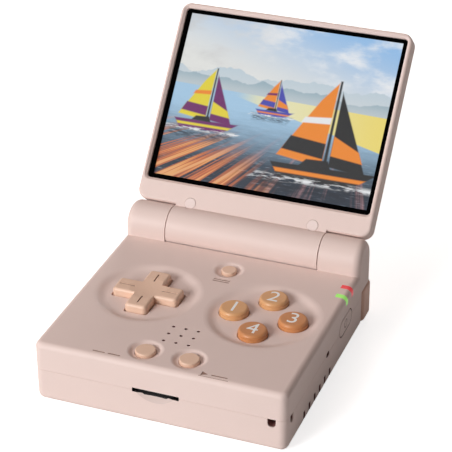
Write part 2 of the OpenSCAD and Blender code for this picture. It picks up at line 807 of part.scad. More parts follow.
module face_membrane() color(silicone) translate([0, 0, board_top]) {
    for (side = FACE_SIDES) at_face(side) {
        cylinder(r = face_r, h = mat_t);
        cylinder(r = dome_r, h = mat_t + dome_h);
    }
    on_case(face_x, face_y) cylinder(r = face_offset - face_r + 1.5, h = mat_t);
}

module small_key_membranes() color(silicone) translate([0, 0, board_top]) at_small_keys() {
    cylinder(r = 3.2, h = mat_t);
    cylinder(r = 1.6, h = mat_t + dome_h);
}

module power_switch() color(dark) {
    reach = power_switch_d + switch_reach;
    on_case(half_w - wall - key_depth - power_travel - 0.2 - reach, power_y, board_z - 2.8) {
        translate([0, -3, 0]) cube([power_switch_d, 6, 2.8]);
        translate([0, -1, 0.7]) cube([reach, 2, 1.4]);
    }
}

module reset_switch() color(dark) on_case(half_w - wall - 4.4, reset_y - 1.8, board_z - 2.6) {
    cube([2.8, 3.6, 2.6]);
    translate([0, 1.1, 0.8]) cube([3.4, 1.4, 1.2]);
}

module volume_switch() color(dark) on_case(wall - half_w + 2, volume_y - volume_switch_l / 2, board_top)
    cube([2.4, volume_switch_l, 1.4]);

// Four key switches that hang from the board in front of the shoulder keys
module shoulder_switches() color(dark) for (side = [0, 1]) mirror([side, 0, 0]) {
    outer_x = half_w - wall - switch_in;
    inner_x = (inner_key_in + inner_key_out) / 2;
    for (x = [outer_x, inner_x]) translate([x, switch_front, board_z - switch_h]) {
        translate([-2.4, 0, 0]) cube([4.8, pocket_front - switch_gap - switch_front, switch_h]);
        translate([-1, 0, 0.8]) cube([2, pocket_front - 2 * fit - switch_front, 2]);
    }
}

module case_screws() color(steel) at_posts() difference() {
    union() {
        translate([0, 0, head_depth - head_t]) cylinder(r = screw_head_r, h = head_t);
        translate([0, 0, head_depth - fit]) cylinder(r = screw_r, h = board_top + 3.6 - head_depth);
    }
    for (turn = [0, 90]) rotate([0, 0, turn]) translate([-screw_head_r * 0.6, -0.2, 0])
        cube([screw_head_r * 1.2, 0.4, head_depth - head_t + 0.5]);
}

module hinge_shafts() color(steel) for (side = [0, 1]) mirror([side, 0, 0])
    translate([barrel_half - bush_len + 0.4, axis_y, axis_h]) rotate([0, 90, 0])
        cylinder(r = shaft_r, h = ear_in + shaft_seat - 0.2 - barrel_half + bush_len - 0.4);

module shoulder_pins() color(steel) for (side = [0, 1]) mirror([side, 0, 0])
    translate([shoulder_pin_x, shoulder_pin_y, shoulder_low - shoulder_slack])
        cylinder(r = shoulder_pin_r, h = rear_ceiling - shoulder_low + shoulder_slack);

magnet_x = 10;
magnet_w = 6;
magnet_l = 3;
magnet_s = lid_low + 4.4;
module lid_sensor() color(dark) translate([magnet_x, axis_y - magnet_s, board_top])
    translate([-1.5, -1.2, 0]) cube([3, 2.4, 1]);

// The lid's lower field between the ears reaches down to the barrel
module lid_neck(low, high) {
    block_between([-barrel_half, hinge_r * 0.55, low], [barrel_half, lid_low + lid_back_edge_r + 1, high]);
}

flex_w = 12;
flex_low = glass_n - glass_t - panel_t;
flex_t = 0.3;

// The slit through which the flat cable enters the barrel
module flex_slit() {
    block_between([-flex_w / 2 - 0.3, hinge_r * 0.5, flex_low - 0.15],
        [flex_w / 2 + 0.3, lid_low + 4, flex_low + flex_t + 0.15]);
}

module lid_bezel() color(shell_pink) on_lid() difference() {
    union() {
        translate([0, lid_mid, split_n])
            soft_box(case_w, lid_len, bezel_t, lid_corner_r, lid_front_edge_r, 0);
        lid_neck(split_n, inner_n);
        translate([-barrel_half, 0, 0]) rotate([0, 90, 0]) cylinder(r = hinge_r, h = 2 * barrel_half);
    }
    translate([-barrel_half - over, 0, 0]) rotate([0, 90, 0])
        cylinder(r = barrel_bore_r, h = 2 * (barrel_half + over));
    // seat of the glass, the bevel round it, and the smaller window behind it
    translate([0, glass_mid, glass_n - glass_t])
        soft_box(glass_w, glass_l, glass_recess + glass_t + over, glass_corner_r);
    translate([0, glass_mid, inner_n - glass_bevel])
        bevel_box(glass_w, glass_l, glass_bevel + over, glass_corner_r);
    translate([0, glass_mid, split_n - over])
        soft_box(panel_w + 2 * panel_gap, panel_l + 2 * panel_gap, bezel_t + over, glass_corner_r / 2);
    for (side = [-1, 1]) translate([side * plug_x, plug_s, 0]) {
        translate([0, 0, inner_n - plug_depth]) cylinder(r = plug_r + fit, h = plug_depth + over);
        translate([0, 0, inner_n - plug_depth - 0.8]) cylinder(r = lid_head_r + fit, h = plug_depth + over);
        translate([0, 0, split_n - over]) cylinder(r = lid_screw_r + screw_gap, h = bezel_t + over);
    }
    flex_slit();
}

module lid_cover() color(shell_pink) on_lid() difference() {
    union() {
        difference() {
            union() {
                translate([0, lid_mid, outer_n])
                    soft_box(case_w, lid_len, lid_t - bezel_t - seam, lid_corner_r, 0, lid_back_edge_r);
                translate([0, lid_mid, outer_n + lid_t - bezel_t - 2 * seam])
                    soft_box(case_w - 2 * seam, lid_len - 2 * seam, 2 * seam, lid_corner_r - seam);
                lid_neck(outer_n, split_n);
            }
            translate([0, lid_mid, outer_n + lid_wall])
                soft_box(case_w - 2 * lid_side_wall, lid_len - 2 * lid_side_wall, lid_t, lid_corner_r - 1);
        }
        for (side = [-1, 1]) translate([side * plug_x, plug_s, outer_n + lid_wall / 2])
            cylinder(r = lid_post_r, h = lid_t - bezel_t - lid_wall / 2);
    }
    translate([-barrel_half - over, 0, 0]) rotate([0, 90, 0])
        cylinder(r = hinge_r + fit, h = 2 * (barrel_half + over));
    for (side = [-1, 1]) translate([side * plug_x, plug_s, outer_n + lid_wall])
        cylinder(r = lid_screw_r + fit, h = lid_t);
    flex_slit();
}

module cover_glass() color(dark) on_lid() translate([0, glass_mid, glass_n - glass_t])
    soft_box(glass_w - 2 * glass_gap, glass_l - 2 * glass_gap, glass_t, glass_corner_r);

module display_panel() color("#5f86a8") on_lid() translate([0, glass_mid, glass_n - glass_t - panel_t])
    soft_box(panel_w, panel_l, panel_t, 0.4);

module screw_covers() color("#e6d2ca") on_lid() for (side = [-1, 1])
    translate([side * plug_x, plug_s, inner_n - plug_depth + fit]) rotate_extrude()
        soft_half(plug_r, plug_depth + 0.1, 0.25, 0);

module lid_screws() color(steel) on_lid() for (side = [-1, 1]) translate([side * plug_x, plug_s, 0]) {
    translate([0, 0, inner_n - plug_depth - 0.8]) cylinder(r = lid_head_r, h = 0.75);
    translate([0, 0, outer_n + lid_wall + 0.2])
        cylinder(r = lid_screw_r, h = lid_t - lid_wall - plug_depth - 0.8);
}

// A ring round the hinge axis that fills the barrel's bore at one end
module hinge_ring() {
    translate([barrel_half - bush_len, 0, 0]) rotate([0, 90, 0]) difference() {
        cylinder(r = barrel_bore_r, h = bush_len);
        translate([0, 0, -over]) cylinder(r = shaft_r + running_gap, h = bush_len + 2 * over);
    }
}

// The friction cartridge has a closed drum behind its ring
module hinge_cartridge() color(steel) on_lid() {
    hinge_ring();
    translate([barrel_half - bush_len - 5, 0, 0]) rotate([0, 90, 0]) difference() {
        cylinder(r = barrel_bore_r - 0.2, h = 5 + fit);
        translate([0, 0, 4.5]) cylinder(r = shaft_r + running_gap, h = 5);
    }
}

module hinge_bush() color("#e9e4da") on_lid() mirror([1, 0, 0]) hinge_ring();

module lid_magnet() color(steel) on_lid()
    translate([magnet_x - magnet_w / 2, magnet_s - magnet_l / 2, outer_n + lid_wall])
        cube([magnet_w, magnet_l, split_n - outer_n - lid_wall]);

// The flat cable from the panel's lower edge into a roll round the hinge axis
module display_flex() color("#c98a3a") on_lid() {
    roll_r = barrel_bore_r - 0.7;
    block_between([-flex_w / 2, hinge_r * 0.5 + 0.2, flex_low],
        [flex_w / 2, glass_mid - panel_l / 2 - fit, flex_low + flex_t]);
    translate([-flex_w / 2, 0, 0]) rotate([0, 90, 0]) difference() {
        cylinder(r = roll_r + 0.5, h = flex_w);
        translate([0, 0, -over]) cylinder(r = roll_r + 0.5 - flex_t, h = flex_w + 2 * over);
    }
}

module dpad_pivot() color(steel) on_case(-dpad_x, dpad_y, ball_z) sphere(r = ball_r);

module dpad() color(key_beige) on_case(-dpad_x, dpad_y) difference() {
    union() {
        translate([0, 0, dpad_disc_low]) cylinder(r = dpad_disc_r, h = dpad_disc_t);
        translate([0, 0, ball_z + 0.3]) cylinder(r = ball_r + 1.4, h = dpad_disc_low - ball_z);
        translate([0, 0, dpad_disc_low])
            cross(dpad_span, dpad_arm_w, case_h + dpad_rise - dpad_disc_low, 1.2, 0.9);
    }
    translate([0, 0, ball_z]) sphere(r = ball_r + ball_gap);
    // soft dimple in the middle, and a thin line along each arm
    translate([0, 0, case_h + dpad_rise + dimple_r - dimple_depth]) sphere(r = dimple_r);
    for (side = FACE_SIDES) {
        length = arm_line_l[side[0] == 0 ? 1 : 0];
        at = arm_line_in + length / 2;
        translate([side[0] * at, side[1] * at, case_h + dpad_rise - arm_line_depth])
            rotate([0, 0, side[0] == 0 ? 90 : 0]) round_bar(length, arm_line_w, over);
    }
}

// A round key of radius r whose top stands at height z, with a flange under the top face, a stem, and a
// crown that is narrower by step from the height of the top face
module round_key(r, z, edge_r, step) {
    rotate_extrude() {
        translate([0, stem_low]) square([r * 0.62, flange_low - stem_low + fit]);
        translate([0, flange_low]) square([r + flange_w, flange_t]);
        translate([0, flange_low]) square([r, case_h - crown_low - flange_low]);
        translate([0, flange_low]) soft_half(r - step, z - flange_low, edge_r, 0);
    }
}

module face_key(side) color(key_tan) at_face(side)
    round_key(face_r, case_h + face_rise, 0.8, crown_step);

module small_key(r) color(key_beige) round_key(r, case_h + small_rise, 0.4, 0);

module button_left() face_key([-1, 0]);
module button_top() face_key([0, 1]);
module button_right() face_key([1, 0]);
module button_bottom() face_key([0, -1]);
module menu_button() on_case(0, menu_y) small_key(menu_r);
module select_button() on_case(-pair_x, pair_y) small_key(pair_r);
module start_button() on_case(pair_x, pair_y) small_key(pair_r);

module power_button() color(shell_pink) on_case(half_w - wall - key_depth, power_y, power_z) difference() {
    union() {
        side_bar(power_l, power_h, wall + key_depth);
        side_bar(power_l + 1.4, power_h + 1.4, 0.8);
    }
    // sunk ring and bar
    translate([wall + key_depth - power_mark_depth, 0, 0]) rotate([90, 0, 90]) {
        difference() {
            cylinder(r = 1.45, h = over);
            translate([0, 0, -over]) cylinder(r = 1.15, h = 3 * over);
            translate([-0.5, 0.5, -over]) cube([1, 2, 3 * over]);
        }
        translate([-0.15, 0.35, 0]) cube([0.3, 1.3, over]);
    }
}

// The right outer shoulder key, a soft block round the back corner, with the bore of its pin
module shoulder_outer() {
    key_l = shoulder_l + shoulder_out;
    difference() {
        translate([shoulder_in + key_l / 2, shoulder_front + shoulder_d / 2, shoulder_low])
            soft_box(key_l, shoulder_d, shoulder_top - shoulder_low, shoulder_corner_r, 0.9, 0.6);
        translate([shoulder_pin_x, shoulder_pin_y, 0]) cylinder(r = shoulder_pin_r + running_gap, h = case_h);
    }
}

module shoulder_right_outer() color(key_brown) shoulder_outer();
module shoulder_left_outer() color(key_brown) mirror([1, 0, 0]) shoulder_outer();

// The right inner shoulder key, a soft block with a flange inside the back wall
module shoulder_inner() {
    key_low = shoulder_low + wall + shoulder_slack;
    depth = shoulder_d - 1.4;
    translate([(inner_key_in + inner_key_out) / 2, shoulder_back - depth / 2, key_low])
        soft_box(inner_key_l, depth, shoulder_top - key_low, 0.9, 0.8, 0.8);
    block_between([inner_key_in - inner_key_flange, back - wall - seat_gap - 1, key_low + 1],
        [inner_key_out - 1, back - wall - seat_gap, shoulder_top + 0.9]);
}

module shoulder_right_inner() color(key_brown) shoulder_inner();
module shoulder_left_inner() color(key_brown) mirror([1, 0, 0]) shoulder_inner();

// The rocker tilts on the nub at its middle
module volume_rocker() color(key_beige) on_case(-half_w - volume_out, volume_y, volume_z) {
    side_bar(volume_l, volume_h, volume_out + wall + 0.6);
    translate([volume_out + wall + 0.5, 0, 0]) side_bar(volume_l + 1.2, volume_h + 1.2, 0.7);
    translate([volume_out + wall + 1.2, 0, -0.4]) cylinder(r = 0.6, h = 1.2);
}

bottom_shell();
top_shell();
main_board();
processor();
heat_spreader();
battery();
speaker();
card_socket();
usb_socket();
headphone_socket();
dpad_membrane();
face_membrane();
small_key_membranes();
light_pipe_red();
light_pipe_green();
power_switch();
reset_switch();
volume_switch();
shoulder_switches();
case_screws();
hinge_shafts();
shoulder_pins();
lid_sensor();
lid_bezel();
lid_cover();
cover_glass();
display_panel();
screw_covers();
lid_screws();
hinge_cartridge();
hinge_bush();
lid_magnet();
display_flex();
dpad_pivot();
dpad();
button_left();
button_top();
button_right();
button_bottom();
menu_button();
select_button();
start_button();
power_button();
shoulder_right_outer();
shoulder_left_outer();
shoulder_right_inner();
shoulder_left_inner();
volume_rocker();
memory_card();
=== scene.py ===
"""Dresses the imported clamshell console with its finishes, picture, numerals, screws, light and camera."""

import json
import math

import bpy
from mathutils import Matrix, Vector


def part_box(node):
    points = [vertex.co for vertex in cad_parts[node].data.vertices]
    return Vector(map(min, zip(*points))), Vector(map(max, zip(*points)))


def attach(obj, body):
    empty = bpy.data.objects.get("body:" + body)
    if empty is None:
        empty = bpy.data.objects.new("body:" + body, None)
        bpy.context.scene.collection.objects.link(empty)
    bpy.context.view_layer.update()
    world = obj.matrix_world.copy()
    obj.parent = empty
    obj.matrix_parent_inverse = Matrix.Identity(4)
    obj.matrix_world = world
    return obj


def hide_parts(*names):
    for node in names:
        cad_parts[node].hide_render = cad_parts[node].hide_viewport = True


bl_info = {
    "name": "Clamshell console finishes",
    "version": (1, 0, 0),
    "blender": (4, 5, 0),
    "location": "View3D > Sidebar > Console",
    "description": "Gives a clamshell console its plastics, screen picture, numerals, screws and studio",
    "category": "Object",
}

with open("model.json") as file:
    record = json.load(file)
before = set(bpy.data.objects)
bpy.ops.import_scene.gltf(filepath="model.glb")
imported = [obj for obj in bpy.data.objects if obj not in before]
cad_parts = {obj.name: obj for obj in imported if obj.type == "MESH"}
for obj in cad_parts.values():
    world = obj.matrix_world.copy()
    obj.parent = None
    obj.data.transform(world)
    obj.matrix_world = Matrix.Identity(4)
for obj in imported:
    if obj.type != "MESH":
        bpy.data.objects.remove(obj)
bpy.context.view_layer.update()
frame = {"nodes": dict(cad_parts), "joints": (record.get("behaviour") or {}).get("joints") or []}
NODES = frame["nodes"]
JOINTS = {joint["name"]: joint for joint in frame["joints"]}
MM = 0.001

# The lid's own directions at rest: along the lid from the hinge, and out of the screen towards the user
LID_LEAN = math.radians(180 - JOINTS["lid_hinge"]["range_deg"][1])
LID_ALONG = Vector((0, math.cos(LID_LEAN), math.sin(LID_LEAN)))
LID_OUT = Vector((0, -math.sin(LID_LEAN), math.cos(LID_LEAN)))


def linear(red, green, blue):
    """A colour as seen on a display, 0 to 255, as Blender's linear colour."""
    parts = [v / 255 for v in (red, green, blue)]
    return [v / 12.92 if v < 0.04045 else ((v + 0.055) / 1.055) ** 2.4 for v in parts] + [1]


def span(start, near, far):
    """A range of places near start. near and far are in millimetres, the rest in metres."""
    return start + near * MM, start + far * MM


def middle_of(node):
    """The middle of a node's box."""
    low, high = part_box(node)
    return (low + high) / 2


# Materials


class Field:
    """A number that changes over a surface. Python's operators on it add Math nodes."""

    def __init__(self, sheet, socket):
        self.sheet = sheet
        self.socket = socket

    def maths(self, operation, *values):
        return self.sheet.node("Math", {"operation": operation}, [self, *values]).out()

    def __add__(self, other):
        return self.maths("ADD", other)

    __radd__ = __add__

    def __sub__(self, other):
        return self.maths("SUBTRACT", other)

    def __rsub__(self, other):
        return self.sheet.node("Math", {"operation": "SUBTRACT"}, [other, self]).out()

    def __mul__(self, other):
        return self.maths("MULTIPLY", other)

    __rmul__ = __mul__

    def __truediv__(self, other):
        return self.maths("DIVIDE", other)

    def __gt__(self, other):
        return self.maths("GREATER_THAN", other)

    def __lt__(self, other):
        return self.maths("LESS_THAN", other)

    def __abs__(self):
        return self.maths("ABSOLUTE")

    def least(self, other):
        return self.maths("MINIMUM", other)

    def most(self, other):
        return self.maths("MAXIMUM", other)

    def fade(self, start, end, low=0.0, high=1.0):
        """Goes softly from low at start to high at end."""
        settings = {"interpolation_type": "SMOOTHSTEP"}
        return self.sheet.node("MapRange", settings, [self, start, end, low, high]).out()


class Made:
    """A node just added. out() gives an output as a field: by name, by place, or the first in use."""

    def __init__(self, sheet, made):
        self.sheet = sheet
        self.made = made

    def out(self, key=None):
        if key is None:
            key = next(i for i, socket in enumerate(self.made.outputs) if socket.enabled)
        return Field(self.sheet, self.made.outputs[key])


# The nodes whose type has the same name in every kind of tree
SHARED_NODES = {"Math", "VectorMath", "CombineXYZ", "SeparateXYZ", "MapRange"}


class Sheet:
    """A material's node tree, with one method that adds any node."""

    prefix = "ShaderNode"
    last = "OutputMaterial"

    def __init__(self, name):
        old = bpy.data.materials.get(name)
        if old is not None:
            bpy.data.materials.remove(old)
        self.material = bpy.data.materials.new(name)
        self.material.use_nodes = True
        self.tree = self.material.node_tree
        self.tree.nodes.clear()

    def node(self, kind, settings=None, inputs=()):
        """Adds a node. Its settings come first, then its inputs, by place in a list or by name in a dict.

        A list of fields goes to one input that takes several links.
        """
        prefix = "ShaderNode" if kind in SHARED_NODES else self.prefix
        made = self.tree.nodes.new(prefix + kind)
        for key, value in (settings or {}).items():
            setattr(made, key, value)
        pairs = inputs.items() if isinstance(inputs, dict) else enumerate(inputs)
        for key, value in pairs:
            fields = value if isinstance(value, list) else [value]
            if isinstance(fields[0], Field):
                for field in reversed(fields):
                    self.tree.links.new(field.socket, made.inputs[key])
            else:
                made.inputs[key].default_value = value
        return Made(self, made)

    def place(self):
        """The surface's own place as a vector and as three fields, in metres."""
        coordinates = self.node("TexCoord").out("Object")
        parts = self.node("SeparateXYZ", None, [coordinates])
        return coordinates, parts.out("X"), parts.out("Y"), parts.out("Z")

    def turned(self, coordinates, origin, rows):
        """The place counted from origin along three directions."""
        moved = self.node("VectorMath", {"operation": "SUBTRACT"}, [coordinates, origin]).out()
        dot = {"operation": "DOT_PRODUCT"}
        return [self.node("VectorMath", dot, [moved, row]).out("Value") for row in rows]

    def noise(self, coordinates, scale, detail, roughness, seed, stretch=None):
        """Soft noise from 0 to 1, about 0.5 on average."""
        if stretch is not None:
            inputs = {"Vector": coordinates, "Scale": stretch}
            coordinates = self.node("Mapping", {"vector_type": "POINT"}, inputs).out()
        inputs = {"Vector": coordinates, "W": seed, "Scale": scale, "Detail": detail, "Roughness": roughness}
        return self.node("TexNoise", {"noise_dimensions": "4D"}, inputs).out(0)

    def shape(self, across, along, corners, blur):
        """1 inside a convex outline, 0 outside. Its corners go round anticlockwise."""
        depth = None
        for (x, y), (next_x, next_y) in zip(corners, corners[1:] + corners[:1]):
            length = math.hypot(next_x - x, next_y - y)
            run, rise = (next_x - x) / length, (next_y - y) / length
            side = (along - y) * run - (across - x) * rise
            depth = side if depth is None else depth.least(side)
        return depth.fade(-blur, blur)

    def mix(self, factor, first, second):
        """The first colour where factor is 0, the second where it is 1."""
        settings = {"data_type": "RGBA", "blend_type": "MIX", "clamp_factor": True}
        return self.node("Mix", settings, {0: factor, 6: first, 7: second}).out()

    def shade(self, colour, amount):
        """The colour times amount."""
        return self.node("VectorMath", {"operation": "SCALE"}, {0: colour, "Scale": amount}).out()

    def bump(self, height, strength, distance):
        """A normal for the surface's fine relief."""
        inputs = {"Strength": strength, "Distance": distance, "Height": height}
        return self.node("Bump", None, inputs).out("Normal")

    def surface(self, **inputs):
        """The Principled shader with its inputs by name, underscores for spaces, joined to the output."""
        named = {key.replace("_", " "): value for key, value in inputs.items()}
        self.finish(self.node("BsdfPrincipled", None, named).out(0))
        return self.material

    def finish(self, shader):
        """Joins the shader to the tree's output."""
        self.node(self.last, None, {"Surface": shader})

    def seen(self):
        """1 where the camera looks, less in reflections, 0 for the light that falls on the object."""
        in_reflections = 0.3
        path = self.node("LightPath")
        clear = path.out("Is Camera Ray").most(path.out("Is Transmission Ray"))
        return clear.most(path.out("Is Glossy Ray") * in_reflections)


class Studio(Sheet):
    """The world's node tree, with the same methods."""

    last = "OutputWorld"

    def __init__(self, world):
        self.tree = world.node_tree
        self.tree.nodes.clear()


class Recipe(Sheet):
    """A Geometry Nodes tree, with the same method that adds any node."""

    prefix = "GeometryNode"

    def __init__(self, name):
        self.tree = bpy.data.node_groups.new(name, "GeometryNodeTree")
        self.tree.interface.new_socket("Geometry", in_out="OUTPUT", socket_type="NodeSocketGeometry")
        self.given = self.tree.nodes.new("NodeGroupInput")

    def value(self, name, kind="Float"):
        """A named input of the tree."""
        made = self.tree.interface.new_socket(name, in_out="INPUT", socket_type="NodeSocket" + kind)
        return Field(self, next(s for s in self.given.outputs if s.identifier == made.identifier))

    def moved(self, mesh, z):
        """The mesh moved along Z."""
        shift = self.node("CombineXYZ", None, [0.0, 0.0, z]).out()
        return self.node("Transform", None, {"Geometry": mesh, "Translation": shift}).out()

    def cylinder(self, sides, width, height):
        """An upright cylinder about the origin."""
        inputs = {"Vertices": sides, "Radius": width / 2, "Depth": height}
        return self.node("MeshCylinder", None, inputs).out("Mesh")

    def ended(self, spread, material):
        """Closes the tree: the instances become one mesh of this material."""
        real = self.node("RealizeInstances", None, [spread]).out()
        coated = self.node("SetMaterial", None, {"Geometry": real, "Material": material}).out()
        output = self.tree.nodes.new("NodeGroupOutput")
        self.tree.links.new(coated.socket, output.inputs[0])
        return self.tree


def box(x, y, z, colour):
    """A mark: this colour inside the box that the ranges x, y and z give."""
    return list(zip(x, y, z)), colour


def marked(sheet, place, tone, marks):
    """The tone, with another colour inside each mark's box."""
    for (low, high), colour in marks:
        inside = None
        for field, start, end in zip(place, low, high):
            between = (field > start) * (field < end)
            inside = between if inside is None else inside * between
        tone = sheet.mix(inside, tone, colour)
    return tone


# Moulded finishes. grain is the width of the specks, relief their height, mottle how uneven the colour is
SHELL = {"roughness": 0.47, "grain": 0.24 * MM, "relief": 0.3, "mottle": 0.027, "specular": 0.3}
KEY = {"roughness": 0.42, "grain": 0.3 * MM, "relief": 0.12, "mottle": 0.025, "coat": 0.1}
BUTTON = {"roughness": 0.36, "grain": 0.3 * MM, "relief": 0.1, "mottle": 0.03, "coat": 0.15}
SHOULDER = {"roughness": 0.45, "grain": 0.25 * MM, "relief": 0.2, "mottle": 0.03}
RUBBER = {"roughness": 0.62, "grain": 0.3 * MM, "relief": 0.2, "mottle": 0.04, "specular": 0.4}
SOCKET = {"roughness": 0.45, "grain": 0.3 * MM, "relief": 0.2, "mottle": 0.06}
CARD = {"roughness": 0.6, "grain": 0.3 * MM, "relief": 0.2, "mottle": 0.08, "specular": 0.2}
FOIL = {"roughness": 0.3, "grain": 0.6 * MM, "relief": 0.3, "mottle": 0.05}
BUSH = {"roughness": 0.5, "grain": 0.22 * MM, "relief": 0.25, "mottle": 0.03}
CABLE = {"roughness": 0.35, "grain": 0.5 * MM, "relief": 0.1, "mottle": 0.05}
PRINT = {"roughness": 0.5, "grain": 0.2 * MM, "relief": 0.1, "mottle": 0.02}


def plastic(name, colour, roughness, grain, relief, mottle, specular=0.5, coat=0.0, marks=()):
    """Moulded plastic with a fine spark-eroded grain, a faint mottle, slightly uneven gloss, and marks: some
    are print, some painted shade.
    """
    sheet = Sheet(name)
    coordinates, *place = sheet.place()
    cloud = sheet.noise(coordinates, scale=90.0, detail=3.0, roughness=0.55, seed=1.0) - 0.5
    speck = sheet.noise(coordinates, scale=1 / grain, detail=2.0, roughness=0.6, seed=2.0)
    tone = sheet.shade(tuple(colour[:3]), 1 + cloud * mottle * 2 + (speck - 0.5) * mottle)
    return sheet.surface(
        Base_Color=marked(sheet, place, tone, marks),
        Roughness=roughness + cloud * 0.08 + (speck - 0.5) * 0.1,
        Specular_IOR_Level=specular,
        Coat_Weight=coat,
        Coat_Roughness=0.2,
        Normal=sheet.bump(speck, relief, grain * 0.12),
    )


def metal(name, colour, roughness):
    """Drawn or stamped metal with fine streaks."""
    sheet = Sheet(name)
    coordinates, *_ = sheet.place()
    streaks = sheet.noise(coordinates, 2600.0, detail=3.0, roughness=0.6, seed=3.0, stretch=(1.0, 1.0, 12.0))
    return sheet.surface(
        Base_Color=sheet.shade(tuple(colour[:3]), 0.92 + streaks * 0.16),
        Metallic=1.0,
        Roughness=roughness + (streaks - 0.5) * 0.2,
        Normal=sheet.bump(streaks, 0.15, 0.02 * MM),
    )


def lamp_plastic(name, colour, glow):
    """Milky coloured plastic that a small lamp lights from inside."""
    sheet = Sheet(name)
    coordinates, *_ = sheet.place()
    cloud = sheet.noise(coordinates, 900.0, detail=2.0, roughness=0.5, seed=6.0)
    tone = sheet.shade(tuple(colour[:3]), 0.94 + cloud * 0.12)
    return sheet.surface(
        Base_Color=tone,
        Roughness=0.3 + (cloud - 0.5) * 0.06,
        Emission_Color=tone,
        Emission_Strength=glow,
        Coat_Weight=0.4,
        Coat_Roughness=0.12,
    )


def circuit_board():
    """Green solder mask with faint tracks under it and tinned pads."""
    sheet = Sheet("circuit board")
    coordinates, *_ = sheet.place()
    settings = {"feature": "DISTANCE_TO_EDGE", "voronoi_dimensions": "3D"}
    cells = sheet.node("TexVoronoi", settings, {"Vector": coordinates, "Scale": 330.0})
    track = cells.out("Distance") < 0.06
    tone = sheet.mix(track, linear(22, 92, 58), linear(38, 122, 78))
    pads = sheet.noise(coordinates, 700.0, detail=0.0, roughness=0.5, seed=8.0) > 0.72
    tone = sheet.mix(pads, tone, linear(196, 196, 188))
    return sheet.surface(Base_Color=tone, Roughness=0.35 + pads * 0.05, Metallic=pads * 0.8, Coat_Weight=0.3)


# Settings


def colour_setting(name, description, *colour):
    """A colour that the user can change, its default given as seen on a display."""
    return bpy.props.FloatVectorProperty(
        name=name, description=description, subtype="COLOR", size=4, min=0, max=1, default=linear(*colour)
    )


def length_setting(name, description, default):
    """A length in metres that the user can change."""
    return bpy.props.FloatProperty(name=name, description=description, default=default, unit="LENGTH")


def angle_setting(name, description, degrees):
    """An angle that the user can change."""
    return bpy.props.FloatProperty(
        name=name, description=description, default=math.radians(degrees), subtype="ANGLE"
    )


def power_setting(name, description, default):
    """A lamp's power in watts that the user can change."""
    return bpy.props.FloatProperty(name=name, description=description, default=default, unit="POWER")


class ConsoleFinish(bpy.types.PropertyGroup):
    """The console's colours, the colours of its painted shade, and the light of its screen"""

    shell_colour: colour_setting("Shell colour", "Colour of the case and the lid", 235, 212, 204)
    key_colour: colour_setting("Key colour", "Colour of the cross key and the small keys", 241, 203, 178)
    button_colour: colour_setting("Button colour", "Colour of the left and top buttons", 227, 171, 119)
    second_button_colour: colour_setting(
        "Second button colour", "Colour of the right and bottom buttons", 214, 144, 91
    )
    shoulder_colour: colour_setting("Shoulder key colour", "Colour of the keys on the back", 228, 184, 164)
    ink_colour: colour_setting("Mark colour", "Colour of the paint in the sunk marks", 158, 126, 112)
    # Painted shade: this colour darkens the plastic deep inside holes and gaps, where shade falls
    hollow_colour: colour_setting("Hollow colour", "Colour deep inside holes and gaps", 132, 90, 84)
    # Painted shade: this colour darkens the plastic inside the card slot
    slot_colour: colour_setting("Slot colour", "Colour inside the card slot", 22, 20, 20)
    screen_light: bpy.props.FloatProperty(
        name="Screen light", description="Brightness of the lit screen", default=0.9, min=0, max=2
    )


class ConsoleSizes(bpy.types.PropertyGroup):
    """The sizes of what is added to the model"""

    picture_width: length_setting("Picture width", "Width of the lit part of the screen", 71.8 * MM)
    picture_height: length_setting("Picture height", "Height of the lit part of the screen", 54.7 * MM)
    picture_lift: length_setting("Picture lift", "How far the picture sits above the middle", 0.25 * MM)
    numeral_height: length_setting("Numeral height", "Height of the numerals on the buttons", 5.5 * MM)
    numeral_thickness: length_setting("Numeral thickness", "Thickness of the printed numerals", 0.03 * MM)
    screw_recess_width: length_setting("Screw recess width", "Width of a screw's cross recess", 0.55 * MM)


class ConsoleStage(bpy.types.PropertyGroup):
    """The camera and the light"""

    camera_place: bpy.props.FloatVectorProperty(
        name="Camera place", description="Where the camera stands", subtype="TRANSLATION", size=3,
        default=(0.17152, -0.43131, 0.30991),
    )
    camera_azimuth: angle_setting("Camera azimuth", "Which way round the camera looks", 21.011)
    camera_elevation: angle_setting("Camera elevation", "How far down the camera looks", 29.732)
    camera_roll: angle_setting("Camera roll", "Turn of the camera about its line of sight", -0.368)
    focal_length: bpy.props.FloatProperty(
        name="Focal length", description="In millimetres, on a sensor 36 mm wide", default=144.75,
        unit="CAMERA",
    )
    lamp_power: power_setting("Lamp power", "Power of the main lamp", 14.2)
    top_power: power_setting("Top lamp power", "Power of the lamp above", 3.1)
    side_power: power_setting("Side lamp power", "Power of the lamp at the right", 0.04)
    back_power: power_setting("Back lamp power", "Power of the low lamp behind", 3.5)
    sky_light: bpy.props.FloatProperty(
        name="Sky light", description="Strength of the even light from all round", default=0.17
    )
    sky_colour: bpy.props.FloatVectorProperty(
        name="Sky colour", description="Colour of the even light from all round", subtype="COLOR", size=3,
        min=0, max=1, default=(1.0, 0.9, 0.86),
    )


# Pieces


def paint(names, material):
    """Gives the CAD nodes of these names the material."""
    for name in names:
        mesh = NODES[name].data
        mesh.materials.clear()
        mesh.materials.append(material)


def placed(context, name, data):
    """A new object in the scene."""
    made = bpy.data.objects.new(name, data)
    context.scene.collection.objects.link(made)
    return made


def plain_mesh(context, holder):
    """The plain mesh of what the holder shows, after which the holder goes."""
    seen = holder.evaluated_get(context.evaluated_depsgraph_get())
    mesh = bpy.data.meshes.new_from_object(seen)
    holder.modifiers.clear()
    bpy.data.objects.remove(holder)
    if not mesh.polygons:
        raise RuntimeError(f"{mesh.name} has no faces")
    return mesh


def new_piece(context, name, mesh, material, body):
    """A finished piece of the model that rides on a body."""
    mesh.materials.clear()
    mesh.materials.append(material)
    piece = placed(context, name, mesh)
    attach(piece, body)
    return piece


